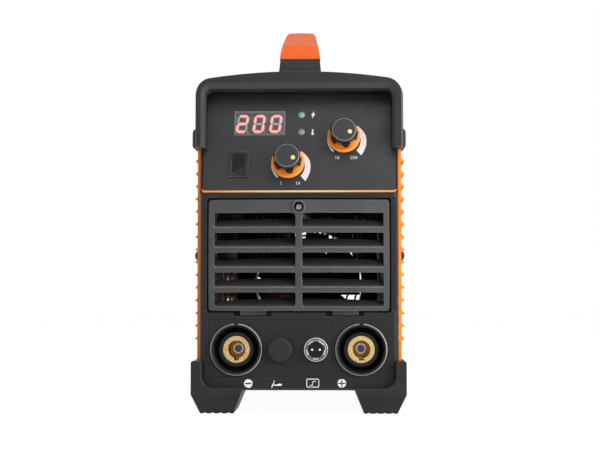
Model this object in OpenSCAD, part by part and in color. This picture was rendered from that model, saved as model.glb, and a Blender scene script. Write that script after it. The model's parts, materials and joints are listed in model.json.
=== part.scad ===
// Inverter machine for TIG welding: moulded end panels, a louvred wrap cover, bumpers and a carrying handle.
// Frame: +Z up, the front faces -Y, the origin is on the ground under the middle of the machine.

/* [Case] */
// Overall length, from the front bumper faces to the rear ones
case_l = 400; // [380:1:430]
// Outer width of the wrap cover
cover_w = 161.4; // [159:0.2:168]
// Height of the cover's crown above the knee of the front panel
control_h = 93.8; // [91:0.1:100]
// Sheet thickness of the wrap cover and the base pan
sheet = 1.2; // [1:0.1:1.5]
// Radius of the two bends along the top of the cover
cover_corner = 13; // [10:1:16]
// Radius of the shallow crown between the bends
crown_r = 480; // [420:10:600]
// Clear height under the base pan
ground_gap = 17.7; // [15:0.5:22]
// Distance from a bumper face to the edge of the cover
cover_set = 20; // [18:0.5:22]
// Width of the flange turned in along the cover's end edges
cover_flange = 2.4; // [2:0.1:2.8]

/* [Louvres] */
// Louvres in one column
louvre_rows = 15; // [8:1:15]
// Distance from one louvre to the next
louvre_pitch = 10.2; // [9:0.1:10.5]
// Height of the lowest louvre's tip above the base pan
louvre_low = 38.7; // [36:0.1:42]
// Length of a louvre
louvre_l = 82; // [60:1:100]
// Reach of a louvre beyond the cover
louvre_out = 3.6; // [2.6:0.1:3.8]
// Distance from the cover's end edge to the first louvre
louvre_set = 15; // [13:1:20]

/* [Bumpers] */
// Wall of a foot beside the cover
foot_wall = 2.8; // [2.4:0.1:3.8]
// Length of a foot
foot_l = 62; // [50:1:75]
// Height of a foot's side wall above the ground
foot_wall_z = 40.7; // [34:0.5:48]
// Wall of the hoods where they lap over the cover
hood_wall = 1.6; // [1.4:0.1:2.4]
// Length of a hood along its top
hood_l = 54; // [46:1:64]
// Height of a hood's side legs below the crown
hood_leg = 59.4; // [54:0.5:64]
// Depth of the hood's front frame below the crown
hood_brow = 13.4; // [12:0.1:15]

/* [Front panel] */
// Distance from the bumper face to the lower front face
face_set = 8; // [6:0.5:10]
// Wall thickness of the moulded panels
wall = 3; // [2.4:0.1:3.4]
// Height of the cover screws above the base pan
screw_h = 105.2; // [96:0.2:112]
// Lean of the control panel
panel_tilt = 10; // [6:1:12]
// Thickness of the control panel's face plate
fascia_t = 1.2; // [1:0.1:1.6]
// Height of the trim stripe under the face plate
stripe_h = 1.6; // [1.4:0.1:2.2]

/* [Controls] */
// Centre of the current knob on the face plate, across and up from the knee
current_at = [35.4, 44.4];
// Centre of the gas knob on the face plate
gas_at = [-8.7, 23.6];
// Radius of a knob's skirt
skirt_r = 13; // [12:0.2:14]
// Radius of a knob's cap
cap_r = 10.1; // [9.4:0.1:10.4]
// Height of a knob above the face plate
knob_h = 20.5; // [18:0.5:23]
// Grip ribs on a knob
knob_ribs = 6; // [3:1:7]
// Radius of the control shafts
shaft_r = 3; // [2.5:0.1:3.2]
// Display window, width and height
display_size = [40.4, 20];
// Centre of the display on the face plate
display_at = [-31.2, 56];
// Centre of the upper lamp on the face plate
lamp_at = [1.9, 62.8];
// Distance between the two lamps
lamp_gap = 14; // [11:0.5:16]
// Radius of a lamp
lamp_r = 2.6; // [2:0.1:3]
// Mode switch frame, width and height
mode_size = [15.4, 21];
// Centre of the mode switch on the face plate
mode_at = [-47.6, 22];
// Mains switch frame, width and height
mains_size = [24, 31];
// Swing of a rocker to each side of the middle
rocker_swing = 9; // [6:1:11]

/* [Grille] */
// Distance from the grille's side to the side of the cover
grille_inset = 10; // [9.8:0.1:14]
// Height of the grille
grille_h = 86.8; // [84:0.2:88]
// Height of the grille's lower edge above the base pan
grille_low = 61.7; // [60.5:0.1:62.5]
// Gap around the grille in its recess
grille_gap = 1.6; // [1:0.1:2]
// Slots in one column
slot_rows = 5; // [3:1:5]
// Height of a slot
slot_h = 11.4; // [9:0.2:12]
// Distance from one slot to the next
slot_pitch = 15.6; // [14.6:0.05:15.8]
// Radius of the pillowed front of the grille
pillow_r = 700; // [500:10:1200]

/* [Connectors] */
// Distance from a current socket's centre to the side of the cover
socket_inset = 32; // [31:0.2:35]
// Height of the current sockets above the base pan
socket_h = 31.6; // [29:0.2:34]
// Radius of the socket's rim
socket_rim_r = 20.2; // [19:0.1:21]
// Radius of the brass contact
contact_r = 10.9; // [10:0.1:11.5]
// Radius of the bore that takes the plug
plug_bore_r = 6.5; // [5:0.1:7]
// Clear depth of that bore
plug_bore_l = 20; // [16:0.5:22]
// Distance of the gas outlet to the left of the middle
gas_out_x = -14.6; // [-18:0.2:-12]
// Distance of the torch control socket to the right of the middle
torch_x = 13.4; // [11:0.2:15]
// Radius of the torch socket's threaded shell
torch_shell_r = 7.6; // [7:0.1:8.4]
// Radius of the gas outlet's cap
gas_cap_r = 9.2; // [8:0.1:9.6]
// Height of that cap above the panel
gas_cap_h = 8; // [7:0.5:12]

/* [Handle] */
// Height of the handle above the crown
handle_h = 47.2; // [45:0.1:58]
// Width of the grip
grip_w = 34.2; // [30:0.2:37]
// Distance from the hood's lip to the handle's front leg
handle_set = 42; // [36:1:50]
// Thickness of the grip bar
grip_t = 20; // [18:0.5:22]

/* [Fan and rear panel] */
// Side of the square fan frame
fan_side = 120; // [112:1:120]
// Depth of the fan frame
fan_depth = 38; // [25:1:38]
// Height of the fan's axis above the base pan
fan_h = 86; // [84:1:90]
// Fan blades
fan_blades = 9; // [5:1:11]
// Radius of the fan's hub
fan_hub_r = 21; // [18:0.5:24]
// Rings in the fan guard
guard_rings = 6; // [3:1:7]
// Bore of the mains cable gland
gland_bore_r = 4.6; // [3.5:0.1:5.5]
// Radius of the hose spigot at the gas inlet
spigot_r = 3.6; // [3:0.1:4.2]

/* [Hidden] */

$fn = 64;
cover_orange = "#f08a1c";
grip_orange = "#f2662a";
panel_black = "#2c2c2d";
bumper_grey = "#434345";
fascia_black = "#353536";
brass = "#c9a44c";
steel = "#b9bcc0";
copper = "#b5682f";
board_green = "#1f5a38";

fit = 0.05;        // radial clearance of a shaft in its bore
seam = 0.3;        // gap between mouldings that meet without touching
knee_h = grille_low + grille_h + 6.7;
cover_h = knee_h + control_h;
lip_y = -case_l / 2;
face_y = lip_y + face_set;
cover_y = lip_y + cover_set;
floor_z = ground_gap + sheet;
crown_z = ground_gap + cover_h;
knee_z = ground_gap + knee_h;
knee_y = face_y + 1;
side_x = cover_w / 2;
bezel_gap = 0.6;    // gap between a moulded panel and the cover's flange
bezel_x = side_x - cover_flange - bezel_gap;
inner_y = lip_y + 34;
bezel_top = crown_z - 9.5;
screw_z = ground_gap + screw_h;
screw_y = cover_y + 8;
brow_z = crown_z - hood_brow;
opening_x = side_x - 7.1;
grille_half_w = side_x - grille_inset;
socket_z = ground_gap + socket_h;
socket_gap = 2 * (side_x - socket_inset);
tunnel_x = side_x - 10;
tunnel_t = 1.2;
tunnel_in = tunnel_x - tunnel_t;
shelf_z = knee_z - 4.6;

// ---------------------------------------------------------------- placing

// Extrudes an outline drawn in X and Z from y, backwards by len.
module along_y(y, len) {
  translate([0, y + len, 0]) rotate([90, 0, 0]) linear_extrude(len) children();
}

// Extrudes an outline drawn in Y and Z across X, from x0 to x1.
module across_x(x0, x1) {
  translate([x0, 0, 0]) rotate([90, 0, 90]) linear_extrude(x1 - x0) children();
}

// Puts children on the face plate, Z pointing out of it.
module on_panel(at) {
  translate([0, knee_y, knee_z]) rotate([90 - panel_tilt, 0, 0]) translate([at.x, at.y, 0]) children();
}

// Turns children, drawn along +Z, to point out of the front at x, z.
module out_front(x, y, z) {
  translate([x, y, z]) rotate([90, 0, 0]) children();
}

// Turns children, drawn along +Z, to point out of the rear at x, z.
module out_rear(x, y, z) {
  translate([x, y, z]) rotate([-90, 0, 0]) children();
}

module both_sides() {
  children();
  mirror([1, 0, 0]) children();
}

module at_rear() {
  mirror([0, 1, 0]) children();
}

// ---------------------------------------------------------------- outlines

module round_rect(w, h, r) {
  square([w - 2 * r, h], center = true);
  square([w, h - 2 * r], center = true);
  for (x = [-1, 1], z = [-1, 1]) translate([x * (w / 2 - r), z * (h / 2 - r)]) circle(r);
}

// Cross-section of the case, in X and Z: upright sides, two bends and a shallow crown, grown by grow.
module arch(grow, bottom) {
  r = cover_corner + grow;
  big = crown_r + grow;
  half = side_x + grow;
  top = crown_z + grow;
  rise = sqrt(pow(big - r, 2) - pow(half - r, 2));
  bend_z = top - big + rise;
  reach = (big + 2) / (big - r);
  translate([-half, bottom]) square([2 * half, bend_z - bottom]);
  for (s = [-1, 1]) translate([s * (half - r), bend_z]) circle(r);
  intersection() {
    translate([0, top - big]) circle(big, $fn = 720);
    polygon([
      [r - half, bend_z], [half - r, bend_z], [(half - r) * reach, top - big + rise * reach],
      [0, top + 2], [(r - half) * reach, top - big + rise * reach]
    ]);
  }
}

// Barrel-shaped outline of the grille, grown outwards by grow, and drawn in by pinch at its sides only.
module barrel(grow, pinch = 0) {
  half = grille_half_w + grow - pinch;
  tall = grille_h / 2 + grow;
  side_r = 660;
  cap_arc_r = 1400;
  mid = ground_gap + grille_low + grille_h / 2;
  translate([0, mid]) intersection() {
    for (s = [-1, 1]) translate([s * (half - side_r), 0]) circle(side_r, $fn = 720);
    for (s = [-1, 1]) translate([0, s * (tall - cap_arc_r)]) circle(cap_arc_r, $fn = 1440);
    round_rect(2 * half, 2 * tall, 2.4);
  }
}

// ---------------------------------------------------------------- wrap cover and base pan

// One louvre on the +X side, its top root at the origin: a sloping hood, shut at both ends and open below.
louvre_drop = louvre_out * 1.05;
louvre_h = louvre_out * 1.35;
module louvre_body() {
  linear_extrude(louvre_l)
    polygon([[-sheet / 2, 0], [0, 0], [louvre_out, -louvre_drop], [0, -louvre_h], [-sheet / 2, -louvre_h]]);
}

module louvre_mouth() {
  skin = 0.8;
  inside = 2 * sheet;
  translate([0, 0, skin]) linear_extrude(louvre_l - 2 * skin)
    polygon([
      [-inside, -skin], [0, -1.4 * skin], [louvre_out + 1, -louvre_drop - 1.4 * skin - 1],
      [louvre_out + 1, -louvre_h - 1], [0, -louvre_h], [-inside, -louvre_h]
    ]);
}

module louvre_column(y) {
  for (i = [0 : louvre_rows - 1])
    translate([side_x, y + louvre_l, ground_gap + louvre_low + i * louvre_pitch + louvre_drop])
      rotate([90, 0, 0]) children();
}

module louvre_columns() {
  both_sides() for (y = [cover_y + louvre_set, -cover_y - louvre_set - louvre_l]) louvre_column(y) children();
}

module side_screw_holes(r) {
  both_sides() for (y = [screw_y, -screw_y])
    translate([0, y, screw_z]) rotate([0, 90, 0]) cylinder(h = side_x + 5, r = r);
}

module wrap_cover() {
  color(cover_orange) difference() {
    union() {
      along_y(cover_y, -2 * cover_y) difference() {
        arch(0, ground_gap);
        arch(-sheet, ground_gap - 1);
      }
      for (y = [cover_y, -cover_y - sheet]) along_y(y, sheet) difference() {
        arch(-sheet / 2, floor_z + 16);
        arch(-cover_flange, floor_z + 15);
      }
      louvre_columns() louvre_body();
    }
    louvre_columns() louvre_mouth();
    difference() {
      side_screw_holes(2.2);
      translate([-side_x + 5, -case_l / 2, 0]) cube([cover_w - 10, case_l, crown_z]);
    }
    handle_bolt_places() translate([0, 0, crown_z - 8]) cylinder(h = 12, r = bolt_r + fit);
  }
}

module base_pan() {
  pan_x = side_x - sheet;
  pan_l = 2 * (-face_y);
  flange = 14;
  color(steel) difference() {
    union() {
      translate([-pan_x, face_y, ground_gap]) cube([2 * pan_x, pan_l, sheet]);
      both_sides() translate([pan_x - sheet, cover_y + sheet, ground_gap])
        cube([sheet, 2 * (-cover_y - sheet), flange]);
      foot_bolt_places() translate([0, 0, ground_gap]) cylinder(h = sheet + 3, r = 4);
    }
    for (x = [-40, 0, 40], i = [-4 : 4]) translate([x, i * 12, ground_gap - 1])
      linear_extrude(sheet + 2) round_rect(24, 4, 1.9);
    foot_bolt_places() translate([0, 0, ground_gap - 1]) cylinder(h = sheet + 6, r = bolt_r + fit);
  }
}

// Button-headed screw along -Z, its head's seat at the origin.
screw_head_r = 4.3;
screw_head_h = 2.9;
screw_r = 2;
module button_screw() {
  dome_r = (pow(screw_head_r, 2) + pow(screw_head_h, 2)) / (2 * screw_head_h);
  difference() {
    union() {
      intersection() {
        translate([0, 0, screw_head_h - dome_r]) sphere(dome_r);
        cylinder(h = screw_head_h, r = screw_head_r);
      }
      translate([0, 0, -10]) cylinder(h = 10.1, r = screw_r);
    }
    translate([0, 0, screw_head_h * 0.45]) cylinder(h = screw_head_h, r = 1.6, $fn = 6);
  }
}

// Button-headed screws: two in each side of the cover, four that hold the fan.
module case_screws() {
  color("#222225") both_sides() for (y = [screw_y, -screw_y])
    translate([side_x, y, screw_z]) rotate([0, 90, 0]) button_screw();
  color("#222225") for (x = [-1, 1], z = [-1, 1])
    out_rear(x * fan_bolt, rear_y, fan_z + z * fan_bolt) button_screw();
}

// ---------------------------------------------------------------- bumpers

foot_bolt_x = side_x - 18.5;
foot_bolt_y = case_l / 2 - 40;
foot_bolt_seat = 11;

module foot_bolt_places() {
  for (x = [-1, 1], y = [-1, 1]) translate([x * foot_bolt_x, y * foot_bolt_y, 0]) children();
}

// Outline of the right foot from the front: an L round the corner of the case, on a tapered block.
foot_out = side_x + foot_wall;
foot_in = side_x - 5.6;
foot_shelf = ground_gap + 2.1;
foot_fillet = 9;
sole_in = side_x - 30;
sole_out = foot_out - 7;
sole_grooves = 4;
module foot_outline() {
  in = foot_in;
  out = foot_out;
  tip = side_x - 36;
  groove_r = 1.9;
  step = (sole_out - sole_in) / (sole_grooves + 0.2);
  difference() {
    polygon([
      [out, 14.8], [out, foot_wall_z - 1.2], [out - 1.2, foot_wall_z], [in + 1.2, foot_wall_z],
      [in, foot_wall_z - 1.2], [in, foot_shelf], [tip, foot_shelf], [tip - 1.4, foot_shelf - 1.6],
      [sole_in, 0], [sole_out, 0]
    ]);
    for (i = [0 : sole_grooves - 1]) translate([sole_in + (i + 0.6) * step, -1.3]) circle(groove_r);
  }
  difference() {
    translate([in - foot_fillet, foot_shelf - 1]) square([foot_fillet + 1, foot_fillet + 1]);
    translate([in - foot_fillet, foot_shelf + foot_fillet]) circle(foot_fillet);
  }
}

// Bevel along the front inner edge of the L.
foot_bevel = 0.9;
module foot_edge_bevel() {
  c = foot_bevel;
  bend_x = foot_in - foot_fillet;
  bend_z = foot_shelf + foot_fillet;
  translate([0, 0, bend_z]) linear_extrude(foot_wall_z)
    polygon([
      [foot_in - 1, lip_y - 1], [foot_in + c + 1, lip_y - 1], [foot_in, lip_y + c], [foot_in - 1, lip_y + c]
    ]);
  across_x(0, bend_x)
    polygon([
      [lip_y - 1, foot_shelf + 1], [lip_y - 1, foot_shelf - c - 1], [lip_y + c, foot_shelf],
      [lip_y + c, foot_shelf + 1]
    ]);
  intersection() {
    translate([bend_x, lip_y - 1, bend_z]) rotate([-90, 0, 0])
      cylinder(h = c + 1, r1 = foot_fillet + c + 1, r2 = foot_fillet);
    translate([bend_x, lip_y - 2, foot_shelf - 4]) cube([foot_fillet + 4, 4 + c, foot_fillet + 4]);
  }
}

// Outline of a foot from the side, in Y and Z.
module foot_side_outline() {
  back = lip_y + foot_l;
  polygon([
    [lip_y, 14.6], [lip_y, foot_wall_z + 1], [back - 26, foot_wall_z + 1], [back - 10, ground_gap + 1],
    [back, ground_gap], [back, 14.6], [back - 5, -1], [lip_y + 5, -1]
  ]);
}

module foot() {
  color(bumper_grey) difference() {
    intersection() {
      along_y(lip_y, foot_l) foot_outline();
      across_x(0, cover_w) foot_side_outline();
    }
    foot_edge_bevel();
    translate([-1, face_y, ground_gap]) cube([side_x + 1, foot_l + 1, 60]);
    foot_bolt_places() {
      translate([0, 0, -1]) cylinder(h = foot_bolt_seat + 1, r = bolt_head_r + 0.4);
      cylinder(h = ground_gap + 1, r = bolt_r + fit);
    }
  }
}

// Leg pad: the thickened end of a hood's leg, seen from the front.
module hood_pads() {
  pad_z = crown_z - hood_leg;
  pad_h = 15.6;
  both_sides() translate([side_x + 0.6, lip_y + 10, pad_z]) intersection() {
    linear_extrude(pad_h) polygon([[-2, 0], [2, 0], [3, 3], [3, 21], [2, 24], [-2, 24]]);
    across_x(-2, 3.4) translate([0, 0]) square([24, pad_h]);
    translate([0, 24, 0]) rotate([90, 0, 0]) linear_extrude(24)
      polygon([[-2, 0], [1.6, 0], [3, 2.2], [3, pad_h - 3], [1.6, pad_h - 1], [-2, pad_h]]);
  }
}

// Hood: a deep frame round the top of a panel, tapered over the edge of the cover.
module hood() {
  leg_z = crown_z - hood_leg;
  taper = 14;
  color(bumper_grey) difference() {
    union() {
      hull() {
        along_y(lip_y, 0.1) arch(-0.3, leg_z, $fn = 48);
        along_y(lip_y + taper, 0.1) arch(hood_wall, leg_z, $fn = 48);
      }
      along_y(lip_y + taper, hood_l - taper) arch(hood_wall, leg_z);
      hood_pads();
    }
    // opening over the control panel, with a chamfered edge that is wider along the top
    along_y(lip_y - 1, 60) opening_outline(0, leg_z - 1);
    hull() {
      along_y(lip_y - 0.1, 0.1) translate([0, 1.3]) opening_outline(2.7, leg_z - 3, $fn = 32);
      along_y(lip_y + 3, 0.1) opening_outline(0, leg_z - 1, $fn = 32);
    }
    // room for the cover behind, and for the panel inside
    along_y(cover_y - seam, hood_l) arch(seam / 3, leg_z - 1);
    across_x(-bezel_x - seam, bezel_x + seam) panel_side_outline(seam);
    // slanted rear edge of the legs
    across_x(-side_x - 10, side_x + 10) polygon([
      [lip_y + hood_l - 16, leg_z - 1], [lip_y + hood_l + 1, leg_z - 1], [lip_y + hood_l + 1, crown_z - 8]
    ]);
    // seats of the handle's feet
    along_y(lip_y + handle_set - seam, hood_l) translate([-grip_w / 2 - 1 - seam, crown_z - 6])
      square([grip_w + 2 + 2 * seam, 20]);
  }
}

module opening_outline(grow, bottom) {
  r = 5.5 + grow;
  half = opening_x + grow;
  top = brow_z + grow;
  translate([-half, bottom]) square([2 * half, top - r - bottom]);
  translate([r - half, bottom]) square([2 * (half - r), top - bottom]);
  for (s = [-1, 1]) translate([s * (half - r), top - r]) circle(r);
}

// ---------------------------------------------------------------- front panel

stripe_ledge = 1.25;   // drop of the ledge under the trim stripe

// Side outline of a moulded panel, in Y and Z, grown outwards by grow.
module panel_side_outline(grow) {
  ledge_z = knee_z - stripe_ledge;
  run = (bezel_top - knee_z) * tan(panel_tilt);
  back = fascia_t / cos(panel_tilt);
  polygon([
    [face_y - grow, floor_z - (grow > 0 ? 2 : 0)], [face_y - grow, ledge_z],
    [knee_y + back - grow, ledge_z], [knee_y + back - grow + run, bezel_top + grow],
    [inner_y, bezel_top + grow], [inner_y, floor_z - (grow > 0 ? 2 : 0)]
  ]);
}

// Tub that the grille sits in: a ring wall and a seat behind the grille's rim.
tub_y = face_y + 9;
tub_seat = 4.5;
module grille_tub() {
  along_y(face_y + 0.5, tub_y + wall - face_y - 0.5) difference() {
    barrel(grille_gap + 2.7);
    barrel(-tub_seat);
  }
  out_front(0, tub_y + wall, grille_screw_z) cylinder(h = wall, r = 7);
}

module connector_plate_outline(grow) {
  left = 10.1 - side_x;
  right = 25.4;
  tall = 43.8;
  translate([(left + right) / 2, socket_z + 1])
    round_rect(right - left + 2 * grow, tall + 2 * grow, 1 + grow);
}

plate_t = 2;
tab_slots = [[-51.7, 30.5], [20.5, 30.5]];
tab_w = 20;
tab_drop = 4.2;
grille_low_z = ground_gap + grille_low;
grille_screw_z = grille_low_z + grille_h - 5.4;

// Shallow field round the grille: upright sides, a straight foot and a slightly arched head.
field_depth = 1;
module grille_field() {
  half = bezel_x - 1.5;
  foot = grille_low_z - 0.5;
  head = knee_z - 2;
  arc_r = 1090;
  along_y(face_y - 1, field_depth + 1) intersection() {
    translate([-half, foot]) square([2 * half, head - foot]);
    translate([0, head - arc_r]) circle(arc_r, $fn = 1440);
  }
}

// Slivers that leave the panel's upright front edges round, up to the ledge under the stripe.
edge_r = 4;
module round_edges() {
  tall = knee_z - stripe_ledge - floor_z + 0.3;
  both_sides() difference() {
    translate([bezel_x - edge_r, face_y - 1, floor_z - 1]) cube([edge_r + 1, edge_r + 1, tall + 1]);
    translate([bezel_x - edge_r, face_y + edge_r, floor_z - 2]) cylinder(h = tall + 4, r = edge_r);
  }
}

// Shell of a moulded panel: its upper corners follow the cover's bends inside the flange.
module panel_shell() {
  difference() {
    intersection() {
      across_x(-side_x, side_x) panel_side_outline(0);
      along_y(face_y - 1, inner_y - face_y + 2) arch(-cover_flange - bezel_gap, 0);
    }
    across_x(wall - bezel_x, bezel_x - wall) panel_hollow();
  }
}

module front_bezel() {
  color(panel_black) difference() {
    union() {
      panel_shell();
      screw_bosses();
      intersection() {
        grille_tub();
        across_x(-bezel_x, bezel_x) panel_side_outline(0);
      }
    }
    grille_field();
    round_edges();
    // recess for the grille
    along_y(face_y - 1, tub_y - face_y + 1) barrel(grille_gap);
    difference() {
      along_y(tub_y - 1, 12) barrel(-tub_seat);
      out_front(0, tub_y + wall, grille_screw_z) cylinder(h = wall + 2, r = 7);
    }
    // notches for the grille's tabs
    for (s = tab_slots) translate([s[0], face_y - 1, grille_low_z - tab_drop])
      cube([s[1], 7, tab_drop]);
    out_front(0, tub_y + wall + 1, grille_screw_z) cylinder(h = wall + 2, r = grille_screw_r + fit);
    // connectors
    along_y(face_y - 1, plate_t + 1) connector_plate_outline(0.5);
    for (x = [-1, 1]) out_front(x * socket_gap / 2, face_y + wall + 1, socket_z)
      cylinder(h = wall + 2, r = socket_rim_r - 3 + 3 * fit);
    out_front(gas_out_x, face_y + wall + 1, socket_z) cylinder(h = wall + 2, r = 7.2);
    out_front(torch_x, face_y + wall + 1, socket_z) cylinder(h = wall + 2, r = torch_shell_r + 1);
    // controls
    panel_cuts(8);
    side_screw_holes(screw_r + fit);
  }
}

// Side outline of the hollow behind a panel: open to the back, a wall thick in front, above and below.
module panel_hollow() {
  depth = (fascia_t + wall) / cos(panel_tilt);
  run = (bezel_top - wall - knee_z) * tan(panel_tilt);
  polygon([
    [face_y + wall, floor_z + wall], [face_y + wall, knee_z - wall - 4], [knee_y + depth, knee_z - wall],
    [knee_y + depth, knee_z], [knee_y + depth + run, bezel_top - wall], [inner_y + 1, bezel_top - wall],
    [inner_y + 1, floor_z + wall]
  ]);
}

// Bosses inside a panel's sides that take the cover screws.
module screw_bosses() {
  both_sides() translate([bezel_x - 8, screw_y, screw_z]) rotate([0, 90, 0])
    cylinder(h = side_x - sheet - bezel_x + 8, r = 4.5);
}

// Holes for the controls, deep enough to pass the face plate and the wall behind it.
module panel_cuts(deep) {
  on_panel(display_at) translate([0, 0, -deep]) linear_extrude(2 * deep) square(display_size, center = true);
  for (i = [0, 1]) on_panel(lamp_at - [0, i * lamp_gap]) translate([0, 0, -deep])
    cylinder(h = 2 * deep, r = lamp_r + fit);
  for (at = [current_at, gas_at]) on_panel(at) translate([0, 0, -deep]) cylinder(h = 2 * deep, r = 3.6);
  on_panel(mode_at) translate([0, 0, -deep]) linear_extrude(2 * deep)
    square(mode_size - [2, 2], center = true);
}

// Face plate: wide below the hood's legs, narrower between them.
module control_fascia() {
  low = stripe_h / 2;
  top = (brow_z - knee_z) / cos(panel_tilt) - 2;
  shoulder = (crown_z - hood_leg - knee_z) / cos(panel_tilt) - 1.2;
  color(fascia_black) difference() {
    on_panel([0, 0]) translate([0, 0, -fascia_t]) linear_extrude(fascia_t) {
      translate([0, (low + top) / 2]) round_rect(2 * opening_x - 0.8, top - low, 5);
      translate([0, (low + shoulder) / 2]) round_rect(2 * stripe_half, shoulder - low, 2);
    }
    panel_cuts(8);
  }
}

stripe_half = bezel_x - 2.4;
module fascia_stripe() {
  half = stripe_half;
  v = stripe_h / 2;
  turn_up = 0.8;
  color(cover_orange) on_panel([0, 0]) translate([0, 0, -fascia_t]) linear_extrude(fascia_t + 0.5)
    polygon([
      [-half, -v], [half, -v], [half + 1.4, v + turn_up], [half + 0.5, v + turn_up], [half - 0.8, v - 0.1],
      [0.8 - half, v - 0.1], [-half - 0.5, v + turn_up], [-half - 1.4, v + turn_up]
    ]);
}

board_depth = fascia_t + wall + 9;   // front of the control board, behind the face plate

module display_window() {
  color("#5a5a5c") on_panel(display_at) translate([0, 0, -1.5]) linear_extrude(1.5)
    square(display_size - [0.2, 0.2], center = true);
}

module display_module() {
  color("#3a3a3c") on_panel(display_at) translate([0, 0, -board_depth]) linear_extrude(board_depth - 1.5)
    square(display_size - [1, 1], center = true);
}

module lamp(i) {
  on_panel(lamp_at - [0, i * lamp_gap]) {
    intersection() {
      translate([0, 0, -4]) cylinder(h = 5, r = lamp_r);
      translate([0, 0, 1 - lamp_r * 1.4]) sphere(lamp_r * 1.4);
    }
    translate([0, 0, -fascia_t - wall]) cylinder(h = fascia_t + wall - 1, r = lamp_r);
    translate([0, 0, -fascia_t - wall - 1]) cylinder(h = 1, r = lamp_r + 0.4);
    for (s = [-1, 1]) translate([s * 1.27, 0, -board_depth])
      cylinder(h = board_depth - fascia_t - wall, r = 0.3);
  }
}

module power_lamp() { color("#57c06a") lamp(0); }
module fault_lamp() { color("#9b9a98") lamp(1); }

module control_board() {
  color(board_green) on_panel([0, 41]) translate([0, 0, -board_depth - 1.6]) linear_extrude(1.6)
    square([2 * (bezel_x - wall) - 4, 66], center = true);
  // stand-offs to the panel's wall
  color(board_green) for (x = [-1, 1], v = [14, 68]) on_panel([x * (bezel_x - wall - 8), v])
    translate([0, 0, -board_depth]) cylinder(h = board_depth - fascia_t - wall, r = 2.5);
}

// Potentiometer behind the panel, with its bush and nut, round a turning shaft.
module rotary_control(at) {
  color(steel) on_panel(at) difference() {
    union() {
      translate([0, 0, -board_depth]) cylinder(h = board_depth - fascia_t - wall, r = 8);
      translate([0, 0, -fascia_t - wall - 0.5]) cylinder(h = fascia_t + wall + 3.5, r = 3.5);
      cylinder(h = 1.6, r = 5, $fn = 6);
    }
    translate([0, 0, -board_depth + 2]) cylinder(h = board_depth + 4, r = shaft_r + fit);
  }
}

module rotary_shaft(at) {
  color(steel) on_panel(at) translate([0, 0, -board_depth + 2 + fit])
    cylinder(h = board_depth - 2 - fit + knob_h - 5, r = shaft_r);
}

// Ribbed grip under a wider round cap. The skirt's lobes fill the spaces between the ribs.
knob_body_r = cap_r - 1.7;
knob_start = -80;
cap_t = 4.8;
skirt_floor = 3.2;    // height of the skirt's floor, on which the knob stands
rib_reach = 11;
rib_sink = 0.4;       // how far the ribs run up into the cap
module knob_rib_bars(grow) {
  tip_r = 1.2 + grow;
  tip_z = skirt_floor + 1.6;
  neck = 0.9 * tip_r;
  root = 3.2 + grow;
  root_z = knob_h - cap_t + rib_sink;
  inner = knob_body_r - 1;
  for (i = [0 : knob_ribs - 1]) rotate(knob_start + i * 360 / knob_ribs) rotate([90, 0, 90])
    translate([0, 0, inner]) linear_extrude(rib_reach + grow - inner) {
      polygon([[-neck, tip_z], [neck, tip_z], [root, root_z], [-root, root_z]]);
      translate([0, tip_z]) circle(tip_r);
    }
}

module knob(at) {
  low = skirt_floor + 0.02;
  bevel_h = 0.8;
  color("#232325") on_panel(at) difference() {
    union() {
      translate([0, 0, low]) cylinder(h = knob_h - low - bevel_h, r = knob_body_r);
      translate([0, 0, knob_h - cap_t]) cylinder(h = cap_t - bevel_h, r = cap_r);
      translate([0, 0, knob_h - bevel_h]) cylinder(h = bevel_h, r1 = cap_r, r2 = cap_r - 1.1);
      knob_rib_bars(0);
    }
    translate([0, 0, 3]) cylinder(h = knob_h - 8, r = shaft_r + fit / 2);
    translate([0, 0, 3]) cylinder(h = 2.2, r = 6.4);
  }
}

module skirt(at) {
  ring_z = 2;
  lobe_h = 6.6;
  color(cover_orange) on_panel(at) difference() {
    union() {
      translate([0, 0, 0.6]) cylinder(h = ring_z - 0.6, r = skirt_r);
      translate([0, 0, ring_z]) cylinder(h = skirt_floor - ring_z, r1 = skirt_r, r2 = skirt_r - 1);
      translate([0, 0, skirt_floor]) cylinder(h = lobe_h, r1 = skirt_r - 1.2, r2 = skirt_r - 2.4);
    }
    translate([0, 0, skirt_floor]) cylinder(h = knob_h, r = knob_body_r + 0.02);
    knob_rib_bars(0.1);
    translate([0, 0, -1]) cylinder(h = 8, r = 6);
  }
}

module current_control() { rotary_control(current_at); }
module current_shaft() { rotary_shaft(current_at); }
module current_knob() { knob(current_at); }
module current_skirt() { skirt(current_at); }
module gas_control() { rotary_control(gas_at); }
module gas_shaft() { rotary_shaft(gas_at); }
module gas_knob() { knob(gas_at); }
module gas_skirt() { skirt(gas_at); }

// ---------------------------------------------------------------- rocker switches, drawn along +Z

rocker_pin_z = -1.2;
rocker_pin_r = 1;
rocker_gap = 0.3;     // running gap round a rocker in its frame
frame_rim = [4.4, 4.8];

module switch_frame(size, deep) {
  inner = size - frame_rim;
  difference() {
    union() {
      linear_extrude(1.6) square(size, center = true);
      translate([0, 0, -deep]) linear_extrude(deep) square(size - [2.2, 2.2], center = true);
    }
    translate([0, 0, 1.6 - deep]) linear_extrude(deep) square(inner, center = true);
    translate([-size.x / 2 + 1.4, 0, rocker_pin_z]) rotate([0, 90, 0])
      cylinder(h = size.x - 2.8, r = rocker_pin_r + fit);
  }
}

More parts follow.
